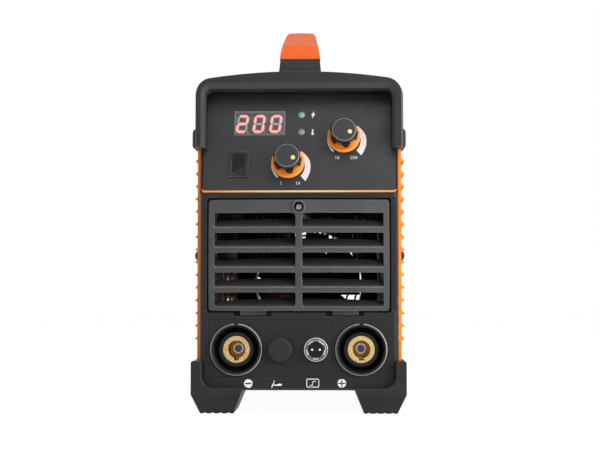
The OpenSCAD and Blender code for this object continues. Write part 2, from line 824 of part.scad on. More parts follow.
// Rocker on its pins, tilted by start degrees: its ends are round about the pin, its face is dished.
module rocker(size, start) {
  inner = size - frame_rim - [2 * rocker_gap, 2 * rocker_gap];
  half = inner.y / 2;
  top = half * 0.32 + 1.6;
  dip = top - 1.9;
  dish_r = (pow(half, 2) + pow(top - dip, 2)) / (2 * (top - dip));
  translate([0, 0, rocker_pin_z]) rotate([start, 0, 0]) {
    translate([-inner.x / 2, 0, 0]) rotate([90, 0, 90]) linear_extrude(inner.x) difference() {
      intersection() {
        circle(half);
        translate([-half, -3.4]) square([2 * half, top + 3.4]);
      }
      translate([0, dip + dish_r]) circle(dish_r, $fn = 180);
    }
    rotate([0, 90, 0]) cylinder(h = size.x - 3.2, r = rocker_pin_r, center = true);
  }
}

module mode_switch_frame() { color("#1d1d1e") on_panel(mode_at) switch_frame(mode_size, 12); }
module mode_rocker() { color("#161617") on_panel(mode_at) rocker(mode_size, rocker_swing); }

// ---------------------------------------------------------------- grille

slot_margin = 3.3;
slot_low = grille_low_z + 2.9;
grille_skin = 2.6;
pillow_y = face_y - 2.5;

// Two columns of slots, cut off along the barrel outline, with large corners beside the middle bar.
middle_bar = 4.9;
module grille_slots() {
  column_h = (slot_rows - 1) * slot_pitch + slot_h;
  intersection() {
    barrel(-slot_margin, 1);
    for (s = [-1, 1]) translate([s * (middle_bar + grille_half_w) / 2, slot_low + column_h / 2])
      round_rect(grille_half_w, column_h, 3.1);
    union() for (i = [0 : slot_rows - 1], s = [-1, 1])
      translate([s * (middle_bar + grille_half_w) / 2, slot_low + slot_h / 2 + i * slot_pitch])
        round_rect(grille_half_w, slot_h, 1.4);
  }
}

// Space inside the bowed front, set back by depth.
module pillow(depth) {
  translate([0, pillow_y + pillow_r, grille_low_z + grille_h / 2]) sphere(pillow_r - depth, $fn = 480);
}

module vent_grille() {
  deep = tub_y - pillow_y;
  color(fascia_black) difference() {
    union() {
      // bowed front and its rim
      intersection() {
        difference() {
          along_y(pillow_y, deep) barrel(0);
          intersection() {
            along_y(pillow_y - 1, deep + 2) barrel(-2.4);
            pillow(grille_skin);
          }
          along_y(pillow_y - 1, deep + 2) grille_slots();
        }
        pillow(0);
      }
      // slanted blades behind the slots, and the rib between the columns
      intersection() {
        grille_blades();
        along_y(pillow_y, deep) barrel(-1);
        pillow(0.5);
      }
      out_front(0, tub_y, grille_screw_z) cylinder(h = deep + 0.5, r = 5.2);
      for (s = tab_slots) translate([s[0] + 6, face_y + 2, grille_low_z - tab_drop + 0.8])
        cube([tab_w, 1.6, tab_drop + 2]);
    }
    out_front(0, tub_y - 4, grille_screw_z) cylinder(h = deep, r = 4);
    out_front(0, tub_y + 1, grille_screw_z) cylinder(h = deep, r = grille_screw_r + fit);
  }
}

// Slanted blades, bowed like the front. One rises backwards from the lower edge of each row of slots.
module grille_blades() {
  rise = slot_h * 0.66;
  blade_t = 1.8;
  blade_turn = 15;
  deep = tub_y - pillow_y;
  mid_z = grille_low_z + grille_h / 2;
  for (i = [0 : slot_rows - 1]) {
    low = slot_low + i * slot_pitch;
    front_r = sqrt(pow(pillow_r, 2) - pow(mid_z - low, 2));
    translate([0, pillow_y + pillow_r, 0]) rotate([0, 0, -90 - blade_turn / 2])
      rotate_extrude(angle = blade_turn, $fn = 720) polygon([
        [front_r, low - blade_t], [front_r, low],
        [front_r - deep, low + rise], [front_r - deep, low + rise - blade_t]
      ]);
  }
  translate([-middle_bar / 2, pillow_y, grille_low_z]) cube([middle_bar, tub_y - pillow_y, grille_h]);
}

grille_screw_r = 1.5;
module grille_screw() {
  color(steel) out_front(0, tub_y - 4, grille_screw_z) difference() {
    union() {
      cylinder(h = 1.4, r = 2.9);
      translate([0, 0, 1.4]) cylinder(h = 0.5, r1 = 2.9, r2 = 2.2);
      translate([0, 0, -8]) cylinder(h = 8.5, r = grille_screw_r);
    }
    rotate(35) translate([-4, -0.4, 1.1]) cube([8, 0.8, 2]);
  }
}

// ---------------------------------------------------------------- connectors

module connector_plate() {
  color(panel_black) difference() {
    along_y(face_y, plate_t) connector_plate_outline(0);
    out_front(-socket_gap / 2, face_y + 4, socket_z) cylinder(h = 6, r = socket_rim_r - 3 + fit);
    out_front(gas_out_x, face_y + 4, socket_z) cylinder(h = 6, r = 6.2);
    out_front(torch_x, face_y + 4, socket_z) cylinder(h = 6, r = torch_shell_r + fit);
  }
}

// Insulating shell of a current socket, revolved about its axis and pointing out.
module socket_shell(x) {
  r = socket_rim_r;
  color("#141415") out_front(x, face_y, socket_z) difference() {
    rotate_extrude() polygon([
      [contact_r + fit, -26], [r - 5, -26], [r - 5, -wall - 2.5], [r - 1, -wall - 2.5], [r - 1, -wall],
      [r - 3, -wall], [r - 3, 0], [r, 0], [r, 2.4], [r - 0.8, 3.4], [r - 1.8, 3.4], [r - 2.6, 2.4],
      [r - 3.4, -3], [contact_r + 3.6, -5], [contact_r + 2.4, -0.4], [contact_r + fit, -0.4]
    ]);
    translate([-1.6, r - 1.6, 1.6]) cube([3.2, 4, 4]);
  }
}

contact_face = -0.9;   // set-back of the brass face behind the panel's face
contact_l = 38;
clamp_screw_h = 3.2;

module socket_contact(x) {
  color(brass) out_front(x, face_y, socket_z) difference() {
    rotate_extrude() polygon([
      [0, -contact_l], [6, -contact_l], [6, -26], [contact_r, -26], [contact_r, contact_face - 0.5],
      [contact_r - 0.5, contact_face], [plug_bore_r + 0.6, contact_face], [plug_bore_r, contact_face - 0.6],
      [plug_bore_r, contact_face - plug_bore_l], [4.2, contact_face - plug_bore_l],
      [4.2, contact_face - plug_bore_l - clamp_screw_h], [0, contact_face - plug_bore_l - clamp_screw_h]
    ]);
    translate([-2, -plug_bore_r - 2, contact_face - plug_bore_l]) cube([4, plug_bore_r, plug_bore_l + 2]);
    translate([0, 0, -contact_l - 1]) cylinder(h = 11, r = 3 + fit);
  }
}

module negative_shell() { socket_shell(-socket_gap / 2); }
module positive_shell() { socket_shell(socket_gap / 2); }
module negative_contact() { socket_contact(-socket_gap / 2); }
module positive_contact() { socket_contact(socket_gap / 2); }

// The clamping screw's end shows at the bottom of each bore; a bolt holds the lead behind.
module contact_bolts() {
  color(steel) for (s = [-1, 1]) out_front(s * socket_gap / 2, face_y, socket_z) {
    translate([0, 0, contact_face - plug_bore_l - clamp_screw_h]) difference() {
      cylinder(h = clamp_screw_h, r = 4.2 - fit);
      translate([0, 0, 1.6]) cylinder(h = 3, r = 2.3, $fn = 6);
    }
    translate([0, 0, -contact_l - 6.2]) cylinder(h = 4, r = 6, $fn = 6);
    translate([0, 0, -contact_l - 3]) cylinder(h = 12, r = 3);
  }
}

gas_outlet_back = 22;
module gas_outlet() {
  color(brass) out_front(gas_out_x, face_y, socket_z) difference() {
    union() {
      translate([0, 0, -gas_outlet_back]) cylinder(h = gas_outlet_back + gas_cap_h - 2, r = 4.6);
      translate([0, 0, -12]) cylinder(h = 12, r = 6.1);
      translate([0, 0, -12]) cylinder(h = 12 - wall, r = 9, $fn = 6);
      cylinder(h = 1.8, r = 8.2, $fn = 6);
    }
    translate([0, 0, -23]) cylinder(h = 32, r = 2.2);
  }
}

cap_grooves = 24;
module gas_outlet_cap() {
  color("#343436") out_front(gas_out_x, face_y, socket_z) difference() {
    union() {
      translate([0, 0, 2]) cylinder(h = gas_cap_h - 3, r = gas_cap_r);
      translate([0, 0, gas_cap_h - 1]) cylinder(h = 1, r1 = gas_cap_r, r2 = gas_cap_r - 1);
    }
    translate([0, 0, 1]) cylinder(h = gas_cap_h - 2.8, r = 4.6 + fit);
    for (i = [0 : cap_grooves - 1]) rotate(i * 360 / cap_grooves) translate([gas_cap_r + 0.3, 0, 3.2])
      cylinder(h = gas_cap_h, r = 0.7, $fn = 16);
  }
}

module torch_socket_shell() {
  color(steel) out_front(torch_x, face_y, socket_z) difference() {
    union() {
      translate([0, 0, -14]) cylinder(h = 21, r = torch_shell_r);
      translate([0, 0, 0]) cylinder(h = 2.2, r = torch_shell_r + 1.6);
      translate([0, 0, -6 - wall]) cylinder(h = 6, r = torch_shell_r + 2, $fn = 6);
    }
    translate([0, 0, -2]) cylinder(h = 12, r = torch_shell_r - 1.2);
    translate([0, 0, -15]) cylinder(h = 14, r = torch_shell_r - 1.6);
    for (a = [90, 270]) rotate(a) translate([torch_shell_r - 1.8, -0.8, 4.6]) cube([3, 1.6, 4]);
  }
}

pin_r = 1.1;
module torch_socket_insert() {
  color("#161617") out_front(torch_x, face_y, socket_z) difference() {
    union() {
      translate([0, 0, -2]) cylinder(h = 5, r = torch_shell_r - 1.2 - fit);
      translate([0, 0, -14]) cylinder(h = 12, r = torch_shell_r - 1.6 - fit);
    }
    for (s = [-1, 1]) translate([s * 3.05, 0, -15]) cylinder(h = 20, r = pin_r + fit / 2);
  }
}

module torch_socket_pins() {
  color(steel) out_front(torch_x, face_y, socket_z) for (s = [-1, 1]) translate([s * 3.05, 0, -17]) {
    cylinder(h = 22, r = pin_r);
    translate([0, 0, 22]) sphere(pin_r);
  }
}

// ---------------------------------------------------------------- handle

handle_bolt_x = 8;
handle_bolt_y = case_l / 2 - handle_set - 14;

// Side outline of the whole handle's outside, in Y and Z.
handle_y = lip_y + handle_set;
handle_top = crown_z + handle_h;
module handle_outer() {
  low = crown_z - 6;
  bend = handle_top - 23.5;
  shoulder = handle_top - 18.5;
  polygon([
    [handle_y, low], [handle_y + 1, bend], [handle_y + 5, shoulder], [handle_y + 34, handle_top - 2.5],
    [handle_y + 44, handle_top], [-handle_y - 44, handle_top], [-handle_y - 34, handle_top - 2.5],
    [-handle_y - 5, shoulder], [-handle_y - 1, bend], [-handle_y, low]
  ]);
}

// Finger opening under the grip.
module handle_gap() {
  leg = 25;
  under = handle_top - grip_t;
  polygon([
    [handle_y + leg, crown_z - 10], [handle_y + leg + 3, crown_z + 8], [handle_y + leg + 24, under],
    [-handle_y - leg - 24, under], [-handle_y - leg - 3, crown_z + 8], [-handle_y - leg, crown_z - 10]
  ]);
}

// Cross-section of the grip in X and Z: sides that lean in more and more towards round shoulders.
module grip_section(grow) {
  w = grip_w / 2 + grow;
  top = handle_top + grow;
  r = 9;
  lean = 4.5;
  hull() {
    translate([-w - 0.6, crown_z - 8]) square([2 * w + 1.2, 14]);
    translate([0.9 - w, crown_z]) square([2 * w - 1.8, handle_h - 27]);
    for (s = [-1, 1]) translate([s * (w - lean - r), top - r]) circle(r, $fn = 40);
  }
}

grip_line = 17.2;   // height of the grip's lower edge above the crown at the front leg

module handle_frame() {
  color(fascia_black) difference() {
    intersection() {
      across_x(-grip_w, grip_w) difference() { handle_outer(); handle_gap(); }
      along_y(handle_y - 1, -2 * handle_y + 2) grip_section(-0.5);
    }
    // the grip's seat: everything above a line that follows the bar
    across_x(-grip_w, grip_w) grip_region();
    along_y(handle_y - 1, -2 * handle_y + 2) arch(0, ground_gap);
    handle_bolt_places() translate([0, 0, crown_z - 8]) cylinder(h = 20, r = bolt_r + fit);
  }
}

// The part of the handle that the grip covers, in Y and Z.
module grip_region() {
  z0 = crown_z + grip_line;
  bar = handle_top - grip_t + 7;
  polygon([
    [handle_y - 2, z0], [handle_y + 14, z0], [handle_y + 50, bar],
    [-handle_y - 50, bar], [-handle_y - 14, z0],
    [-handle_y + 2, z0], [-handle_y + 2, handle_top + 10], [handle_y - 2, handle_top + 10]
  ]);
}

module handle_grip() {
  color(grip_orange) intersection() {
    across_x(-grip_w, grip_w) intersection() { handle_outer(); grip_region(); }
    along_y(handle_y - 1, -2 * handle_y + 2) grip_section(0);
    across_x(-grip_w, grip_w) difference() { handle_outer(); handle_gap(); }
  }
}

bolt_r = 2.5;
bolt_head_r = 4.4;

// Bolt along +Z, its head's seat at the origin.
module mount_bolt() {
  difference() {
    translate([0, 0, -3]) cylinder(h = 3, r = bolt_head_r);
    translate([0, 0, -4]) cylinder(h = 2.4, r = 2.2, $fn = 6);
  }
  translate([0, 0, -0.5]) cylinder(h = 10.5, r = bolt_r);
}

// Bolts through the crown into the handle, and through the feet into the pan.
module mount_bolts() {
  color(steel) handle_bolt_places() translate([0, 0, crown_z - sheet - 0.2]) mount_bolt();
  color(steel) foot_bolt_places() translate([0, 0, foot_bolt_seat]) mount_bolt();
}

module handle_bolt_places() {
  for (x = [-1, 1], y = [-1, 1]) translate([x * handle_bolt_x, y * handle_bolt_y, 0]) children();
}

// ---------------------------------------------------------------- rear panel

fan_z = ground_gap + fan_h;
fan_open_r = fan_side / 2 - 4;
rear_y = -face_y;
fan_y = rear_y - wall - fan_depth;
rear_row_z = knee_z + 32.4;
mains_at = [34, rear_row_z];
gland_at = [-38, rear_row_z];
hose_x = -(tunnel_in - 7.3);
inlet_at = [hose_x, floor_z + 11];

module rear_panel() {
  color(panel_black) difference() {
    union() {
      at_rear() panel_shell();
      at_rear() screw_bosses();
    }
    out_rear(0, rear_y - wall - 1, fan_z) cylinder(h = wall + 2, r = fan_open_r);
    on_rear(mains_at) translate([0, 0, -8]) linear_extrude(12) square(mains_size - [2, 2], center = true);
    on_rear(gland_at) translate([0, 0, -8]) cylinder(h = 12, r = gland_bore_r + 3.4 + fit);
    out_rear(inlet_at.x, rear_y - wall - 1, inlet_at.y) cylinder(h = wall + 2, r = 5 + fit);
    side_screw_holes(screw_r + fit);
    for (x = [-1, 1], z = [-1, 1]) out_rear(x * fan_bolt, rear_y - wall - 1, fan_z + z * fan_bolt)
      cylinder(h = wall + 2, r = screw_r + fit);
  }
  color(panel_black) fan_guard();
}

fan_bolt = fan_side / 2 - 7.5;

// Puts children on the rear panel's sloping upper wall, Z pointing out of it.
module on_rear(at) {
  v = (at.y - knee_z) / cos(panel_tilt);
  translate([0, -knee_y, knee_z]) rotate([panel_tilt - 90, 0, 0]) translate([at.x, -v, -fascia_t]) children();
}

// Round fan guard: rings carried on spokes that reach the panel's wall.
module fan_guard() {
  step = fan_open_r / (guard_rings + 0.5);
  out_rear(0, rear_y - wall, fan_z) linear_extrude(wall) {
    for (i = [1 : guard_rings]) difference() {
      circle(i * step + 1);
      circle(i * step - 1);
    }
    for (a = [0 : 45 : 315]) rotate(a) translate([0, -1]) square([fan_open_r + 0.5, 2]);
    circle(step);
  }
}

module fan_frame() {
  color("#1b1b1c") out_rear(0, fan_y, fan_z) difference() {
    union() {
      difference() {
        linear_extrude(fan_depth) round_rect(fan_side, fan_side, 6);
        translate([0, 0, -1]) cylinder(h = fan_depth + 2, r = fan_open_r);
      }
      // motor plate on four arms, at the inner face
      linear_extrude(3) {
        circle(fan_hub_r);
        for (a = [45 : 90 : 315]) rotate(a) translate([fan_hub_r - 2, -2.5])
          square([fan_open_r - fan_hub_r + 3, 5]);
      }
      cylinder(h = fan_depth - 10.3, r = 4);
    }
    for (x = [-1, 1], z = [-1, 1]) translate([x * fan_bolt, z * fan_bolt, -1])
      cylinder(h = fan_depth + 2, r = screw_r + fit);
  }
}

module fan_rotor() {
  hub_l = fan_depth - 8;
  color("#1b1b1c") out_rear(0, fan_y + 4, fan_z) difference() {
    union() {
      cylinder(h = hub_l, r = fan_hub_r);
      for (i = [0 : fan_blades - 1]) rotate(i * 360 / fan_blades) translate([0, 0, 3])
        rotate([0, 90, 0]) translate([-(hub_l - 6) / 2, 0, fan_hub_r - 3])
          rotate([0, 0, 58]) translate([-(hub_l - 2) / 2, -0.9, 0])
            cube([hub_l - 2, 1.8, fan_open_r - fan_hub_r + 1]);
    }
    translate([0, 0, -1]) cylinder(h = fan_depth - 13, r = 4 + fit);
    translate([0, 0, -1]) cylinder(h = 4, r = 4 + fit);
  }
}

module mains_switch_frame() { color("#1d1d1e") on_rear(mains_at) switch_frame(mains_size, 16); }
module mains_rocker() { color("#b3261e") on_rear(mains_at) rocker(mains_size, -rocker_swing); }

module cable_gland() {
  r = gland_bore_r + 3.4;
  color("#1d1d1e") on_rear(gland_at) difference() {
    union() {
      translate([0, 0, -10]) cylinder(h = 12, r = r);
      cylinder(h = 3.5, r = r + 3.4, $fn = 6);
      translate([0, 0, 3.5]) cylinder(h = 5, r = r + 1.8);
      translate([0, 0, 8.5]) cylinder(h = 3, r1 = r + 1.8, r2 = gland_bore_r + 1.2);
      translate([0, 0, -wall - 4]) cylinder(h = 4, r = r + 3.4, $fn = 6);
    }
    translate([0, 0, -11]) cylinder(h = 30, r = gland_bore_r);
  }
}

gas_inlet_back = 16;
// The spigot reaches as far behind the machine as the gas knob does in front of it.
spigot_l = face_y - knee_y + knob_h * cos(panel_tilt) - (gas_at.y - cap_r + 1) * sin(panel_tilt);
module gas_inlet() {
  color(brass) out_rear(inlet_at.x, rear_y, inlet_at.y) difference() {
    union() {
      translate([0, 0, -gas_inlet_back]) cylinder(h = gas_inlet_back + 1, r = 5);
      cylinder(h = 3, r = 7.5, $fn = 6);
      translate([0, 0, -wall - 4]) cylinder(h = 4, r = 7.5, $fn = 6);
      cylinder(h = spigot_l, r = spigot_r);
    }
    translate([0, 0, -gas_inlet_back - 1]) cylinder(h = 50, r = 2.2);
  }
}

// ---------------------------------------------------------------- inside

tunnel_y0 = lip_y + 62;
tunnel_l = 220;

// Bent sheet that stands on the base pan and makes the air tunnel and the shelf.
module tunnel_frame() {
  color(steel) difference() {
    union() {
      both_sides() translate([tunnel_x - tunnel_t, tunnel_y0, floor_z])
        cube([tunnel_t, tunnel_l, shelf_z - floor_z]);
      translate([-tunnel_x, tunnel_y0, shelf_z - tunnel_t]) cube([2 * tunnel_x, tunnel_l, tunnel_t]);
      both_sides() translate([tunnel_x - 9, tunnel_y0, floor_z]) cube([9, tunnel_l, tunnel_t]);
    }
    for (i = [0 : 2]) both_sides() translate([tunnel_x - 5, tunnel_y0 + 20 + i * 64, floor_z + 34])
      cube([10, 52, 60]);
    translate([-30, tunnel_y0 + 20, shelf_z - 5]) cube([60, 60, 10]);
  }
}

board_z = shelf_z + 6;

module power_board() {
  color(board_green) {
    translate([-tunnel_x + 4, tunnel_y0 + 4, board_z]) cube([2 * tunnel_x - 8, tunnel_l - 20, 1.6]);
    for (x = [-1, 1], y = [12, tunnel_l - 26]) translate([x * (tunnel_x - 12), tunnel_y0 + y, shelf_z])
      cylinder(h = board_z - shelf_z, r = 3);
  }
}

module power_capacitors() {
  color("#27406b") for (i = [0 : 2]) translate([-38, tunnel_y0 + 48 + i * 40, board_z + 1.6]) {
    cylinder(h = 44, r = 17);
    translate([0, 0, 44]) cylinder(h = 1, r = 14);
  }
}

// Finned extrusions, two under the shelf and one on the base pan.
module heat_sink(w, l, h, fins) {
  pitch = (w - 1.6) / (fins - 1);
  cube([w, l, 5]);
  for (i = [0 : fins - 1]) translate([i * pitch, 0, 4]) cube([1.6, l, h - 4]);
}

upper_sink = [50, 96, 52];
lower_sink = [64, 60, 40];
sink_fins = 11;
module heat_sinks() {
  color("#a9adb2") {
    both_sides() translate([6, tunnel_y0 + 100, shelf_z - tunnel_t]) mirror([0, 0, 1])
      heat_sink(upper_sink.x, upper_sink.y, upper_sink.z, sink_fins);
    translate([core_x - lower_sink.x / 2, tunnel_y0 + 152, floor_z])
      heat_sink(lower_sink.x, lower_sink.y, lower_sink.z, sink_fins);
  }
}

// Ferrite core with a wound former through its middle.
module wound_core(w, l, h) {
  color("#2f3032") difference() {
    cube([w, l, h]);
    translate([w * 0.18, -1, h * 0.2]) cube([w * 0.64, l + 2, h * 0.6]);
  }
  color(copper) translate([w * 0.18, -l * 0.15, h * 0.2]) cube([w * 0.64, l * 1.3, h * 0.6]);
}

// The transformer and the choke stand one behind the other in the tunnel.
core_x = 6;
transformer = [52, 46, 52];
choke = [50, 42, 46];
module main_transformer() {
  translate([core_x - transformer.x / 2, tunnel_y0 + 34, floor_z])
    wound_core(transformer.x, transformer.y, transformer.z);
}
module output_choke() {
  translate([core_x - choke.x / 2, tunnel_y0 + 97, floor_z]) wound_core(choke.x, choke.y, choke.z);
}

// Copper bars from the choke and the starter to the bolts behind the current sockets.
lead_y = face_y + contact_l + 0.1;
module output_leads() {
  bar_t = 2;
  bar_w = 12;
  x = socket_gap / 2;
  end_y = tunnel_y0 + 24;
  color(copper) difference() {
    union() {
      for (s = [-1, 1]) translate([s * x - bar_w / 2, lead_y, socket_z - 24]) cube([bar_w, bar_t, 32]);
      for (s = [-1, 1]) translate([s * x - bar_w / 2, lead_y, socket_z - 24])
        cube([bar_w, end_y - lead_y, bar_t]);
    }
    for (s = [-1, 1]) out_front(s * x, lead_y + bar_t + 1, socket_z) cylinder(h = bar_t + 2, r = 3 + fit);
  }
}

module arc_starter() {
  x = -18;
  y = tunnel_y0 + 8;
  color("#7a2f22") translate([x - 14, y - 6, floor_z]) cube([28, 18, 40]);
  color(copper) translate([x, y + 3, floor_z + 40]) difference() {
    cylinder(h = 34, r = 12);
    translate([0, 0, -1]) cylinder(h = 36, r = 6);
  }
}

valve_y = tunnel_y0 + tunnel_l + 14;
hose_r = 3.4;
hose_bend = 9;

module gas_valve() {
  color(brass) translate([hose_x - 7, valve_y - 12, floor_z]) difference() {
    cube([14, 24, 18]);
    translate([7, 25, inlet_at.y - floor_z]) rotate([90, 0, 0]) cylinder(h = 26, r = 2.4);
  }
  color("#202022") translate([hose_x - 8, valve_y - 10, floor_z + 18]) cube([16, 20, 22]);
}

// Quarter turn of hose in the plane of X and Y, from the origin along +X, curving towards +Y.
module hose_elbow() {
  translate([0, hose_bend, 0]) rotate([0, 0, -90]) rotate_extrude(angle = 90)
    translate([hose_bend, 0]) circle(hose_r);
}

// Gas hose: inlet to valve, then along the pan, up behind the negative socket and across to the outlet.
module gas_hose() {
  low = inlet_at.y;
  cross_y = face_y + contact_l + 12;
  outlet_back = face_y + gas_outlet_back;
  climb = socket_z - low - 2 * hose_bend;
  color("#2a2c30") {
    translate([hose_x, valve_y + 12, low]) rotate([-90, 0, 0])
      cylinder(h = rear_y - gas_inlet_back - valve_y - 12, r = hose_r);
    translate([hose_x, cross_y + hose_bend, low]) rotate([-90, 0, 0])
      cylinder(h = valve_y - 12 - cross_y - hose_bend, r = hose_r);
    // up, then across
    translate([hose_x, cross_y + hose_bend, low]) rotate([0, 0, -90]) rotate([90, 0, 0]) hose_elbow();
    translate([hose_x, cross_y, low + hose_bend]) cylinder(h = climb, r = hose_r);
    translate([hose_x, cross_y, low + hose_bend + climb]) rotate([90, 0, 0]) rotate([0, 0, 90])
      mirror([0, 1, 0]) hose_elbow();
    translate([hose_x + hose_bend, cross_y, socket_z]) rotate([0, 90, 0])
      cylinder(h = gas_out_x - hose_x - 2 * hose_bend, r = hose_r);
    // forward to the outlet
    translate([gas_out_x - hose_bend, cross_y, socket_z]) mirror([0, 1, 0]) hose_elbow();
    translate([gas_out_x, outlet_back, socket_z]) rotate([-90, 0, 0])
      cylinder(h = cross_y - hose_bend - outlet_back, r = hose_r);
  }
}

// ---------------------------------------------------------------- nodes

module front_hood() { hood(); }
module rear_hood() { at_rear() hood(); }
module front_foot_right() { foot(); }
module front_foot_left() { mirror([1, 0, 0]) foot(); }
module rear_foot_right() { at_rear() foot(); }
module rear_foot_left() { mirror([1, 0, 0]) at_rear() foot(); }

wrap_cover();
base_pan();
case_screws();
front_bezel();
front_hood();
rear_panel();
rear_hood();
front_foot_left();
front_foot_right();
rear_foot_left();
rear_foot_right();
handle_frame();
handle_grip();
mount_bolts();
control_fascia();
fascia_stripe();
display_module();
display_window();
power_lamp();
fault_lamp();
control_board();
mode_switch_frame();
mode_rocker();
current_control();
current_shaft();
current_knob();
current_skirt();
gas_control();
gas_shaft();
gas_knob();
gas_skirt();
vent_grille();
grille_screw();
connector_plate();
negative_shell();
negative_contact();
positive_shell();
positive_contact();
contact_bolts();
gas_outlet();
gas_outlet_cap();
torch_socket_shell();
torch_socket_insert();
torch_socket_pins();
tunnel_frame();
power_board();
power_capacitors();
heat_sinks();
main_transformer();
output_choke();
output_leads();
arc_starter();
gas_valve();
gas_hose();
fan_frame();
fan_rotor();
mains_switch_frame();
mains_rocker();
cable_gland();
gas_inlet();
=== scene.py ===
import json
import logging
import math
from dataclasses import dataclass, field, replace
from enum import Enum
from typing import Optional, Protocol, Sequence

import bpy
import numpy as np
from mathutils import Matrix, Vector


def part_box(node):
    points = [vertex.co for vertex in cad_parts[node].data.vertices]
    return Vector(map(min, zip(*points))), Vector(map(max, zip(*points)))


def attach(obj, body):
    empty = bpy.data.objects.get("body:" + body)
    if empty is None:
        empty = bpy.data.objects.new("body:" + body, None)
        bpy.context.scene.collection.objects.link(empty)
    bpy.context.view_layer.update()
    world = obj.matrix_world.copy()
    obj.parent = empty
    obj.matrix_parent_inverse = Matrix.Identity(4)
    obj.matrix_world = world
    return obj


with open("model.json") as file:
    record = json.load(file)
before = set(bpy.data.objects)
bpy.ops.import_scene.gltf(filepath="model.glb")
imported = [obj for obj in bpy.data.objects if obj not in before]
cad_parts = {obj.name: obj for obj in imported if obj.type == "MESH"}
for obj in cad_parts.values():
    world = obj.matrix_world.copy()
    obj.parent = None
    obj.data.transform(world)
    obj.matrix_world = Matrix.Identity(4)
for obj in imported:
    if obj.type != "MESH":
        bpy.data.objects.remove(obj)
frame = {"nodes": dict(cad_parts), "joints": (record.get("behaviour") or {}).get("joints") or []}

"""Looks of a portable inverter machine for TIG welding.

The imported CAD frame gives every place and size. This script adds what CAD leaves out: surface finishes,
printed marks, the lit readout, the dial dots, studio light, floor and camera. Lengths in the dataclasses are
in millimetres, and Blender's are in metres.
"""

LOG = logging.getLogger("scene")
MM = 0.001
Colour = tuple[float, float, float, float]
Outline = np.ndarray


# ------------------------------------------------------------------ colour and geometry helpers


def srgb(hex_code: str) -> Colour:
    """Converts an sRGB colour to Blender's linear colour.

    Args:
        hex_code: Colour written as "#rrggbb".

    Returns:
        Linear red, green, blue and an alpha of one.
    """
    channels = np.array([int(hex_code[i : i + 2], 16) for i in (1, 3, 5)]) / 255
    linear = np.where(channels <= 0.04045, channels / 12.92, ((channels + 0.055) / 1.055) ** 2.4)
    return (*linear.tolist(), 1.0)


def make_mesh(
    name: str, points: np.ndarray, faces: Sequence[Sequence[int]], smooth: bool = False
) -> bpy.types.Object:
    """Makes a mesh object at the origin.

    Args:
        name: Name of the object and its mesh.
        points: Vertex positions in metres, one row each.
        faces: Vertex indices of each face.
        smooth: Whether faces are shaded smooth.

    Returns:
        The linked object.
    """
    mesh = bpy.data.meshes.new(name)
    mesh.from_pydata(points.tolist(), [], [list(face) for face in faces])
    mesh.validate()
    mesh.polygons.foreach_set("use_smooth", np.full(len(mesh.polygons), smooth))
    obj = bpy.data.objects.new(name, mesh)
    bpy.context.scene.collection.objects.link(obj)
    return obj


def arc(centre: tuple[float, float], radius: float, start: float, end: float, count: int = 24) -> Outline:
    """Points on an arc: centre + radius * (cos a, sin a), a from start to end degrees."""
    a = np.radians(np.linspace(start, end, count))
    return np.column_stack([centre[0] + radius * np.cos(a), centre[1] + radius * np.sin(a)])


def rounded_box(width: float, height: float, radius: float, count: int = 6) -> Outline:
    """Closed outline of a rectangle with round corners, about the origin.

    Args:
        width: Width over all.
        height: Height over all.
        radius: Radius of the corners.
        count: Points on each corner.

    Returns:
        The outline, counter-clockwise.
    """
    w, h = width / 2 - radius, height / 2 - radius
    corners = [((w, h), 0), ((-w, h), 90), ((-w, -h), 180), ((w, -h), 270)]
    return np.vstack([arc(at, radius, start, start + 90, count) for at, start in corners])


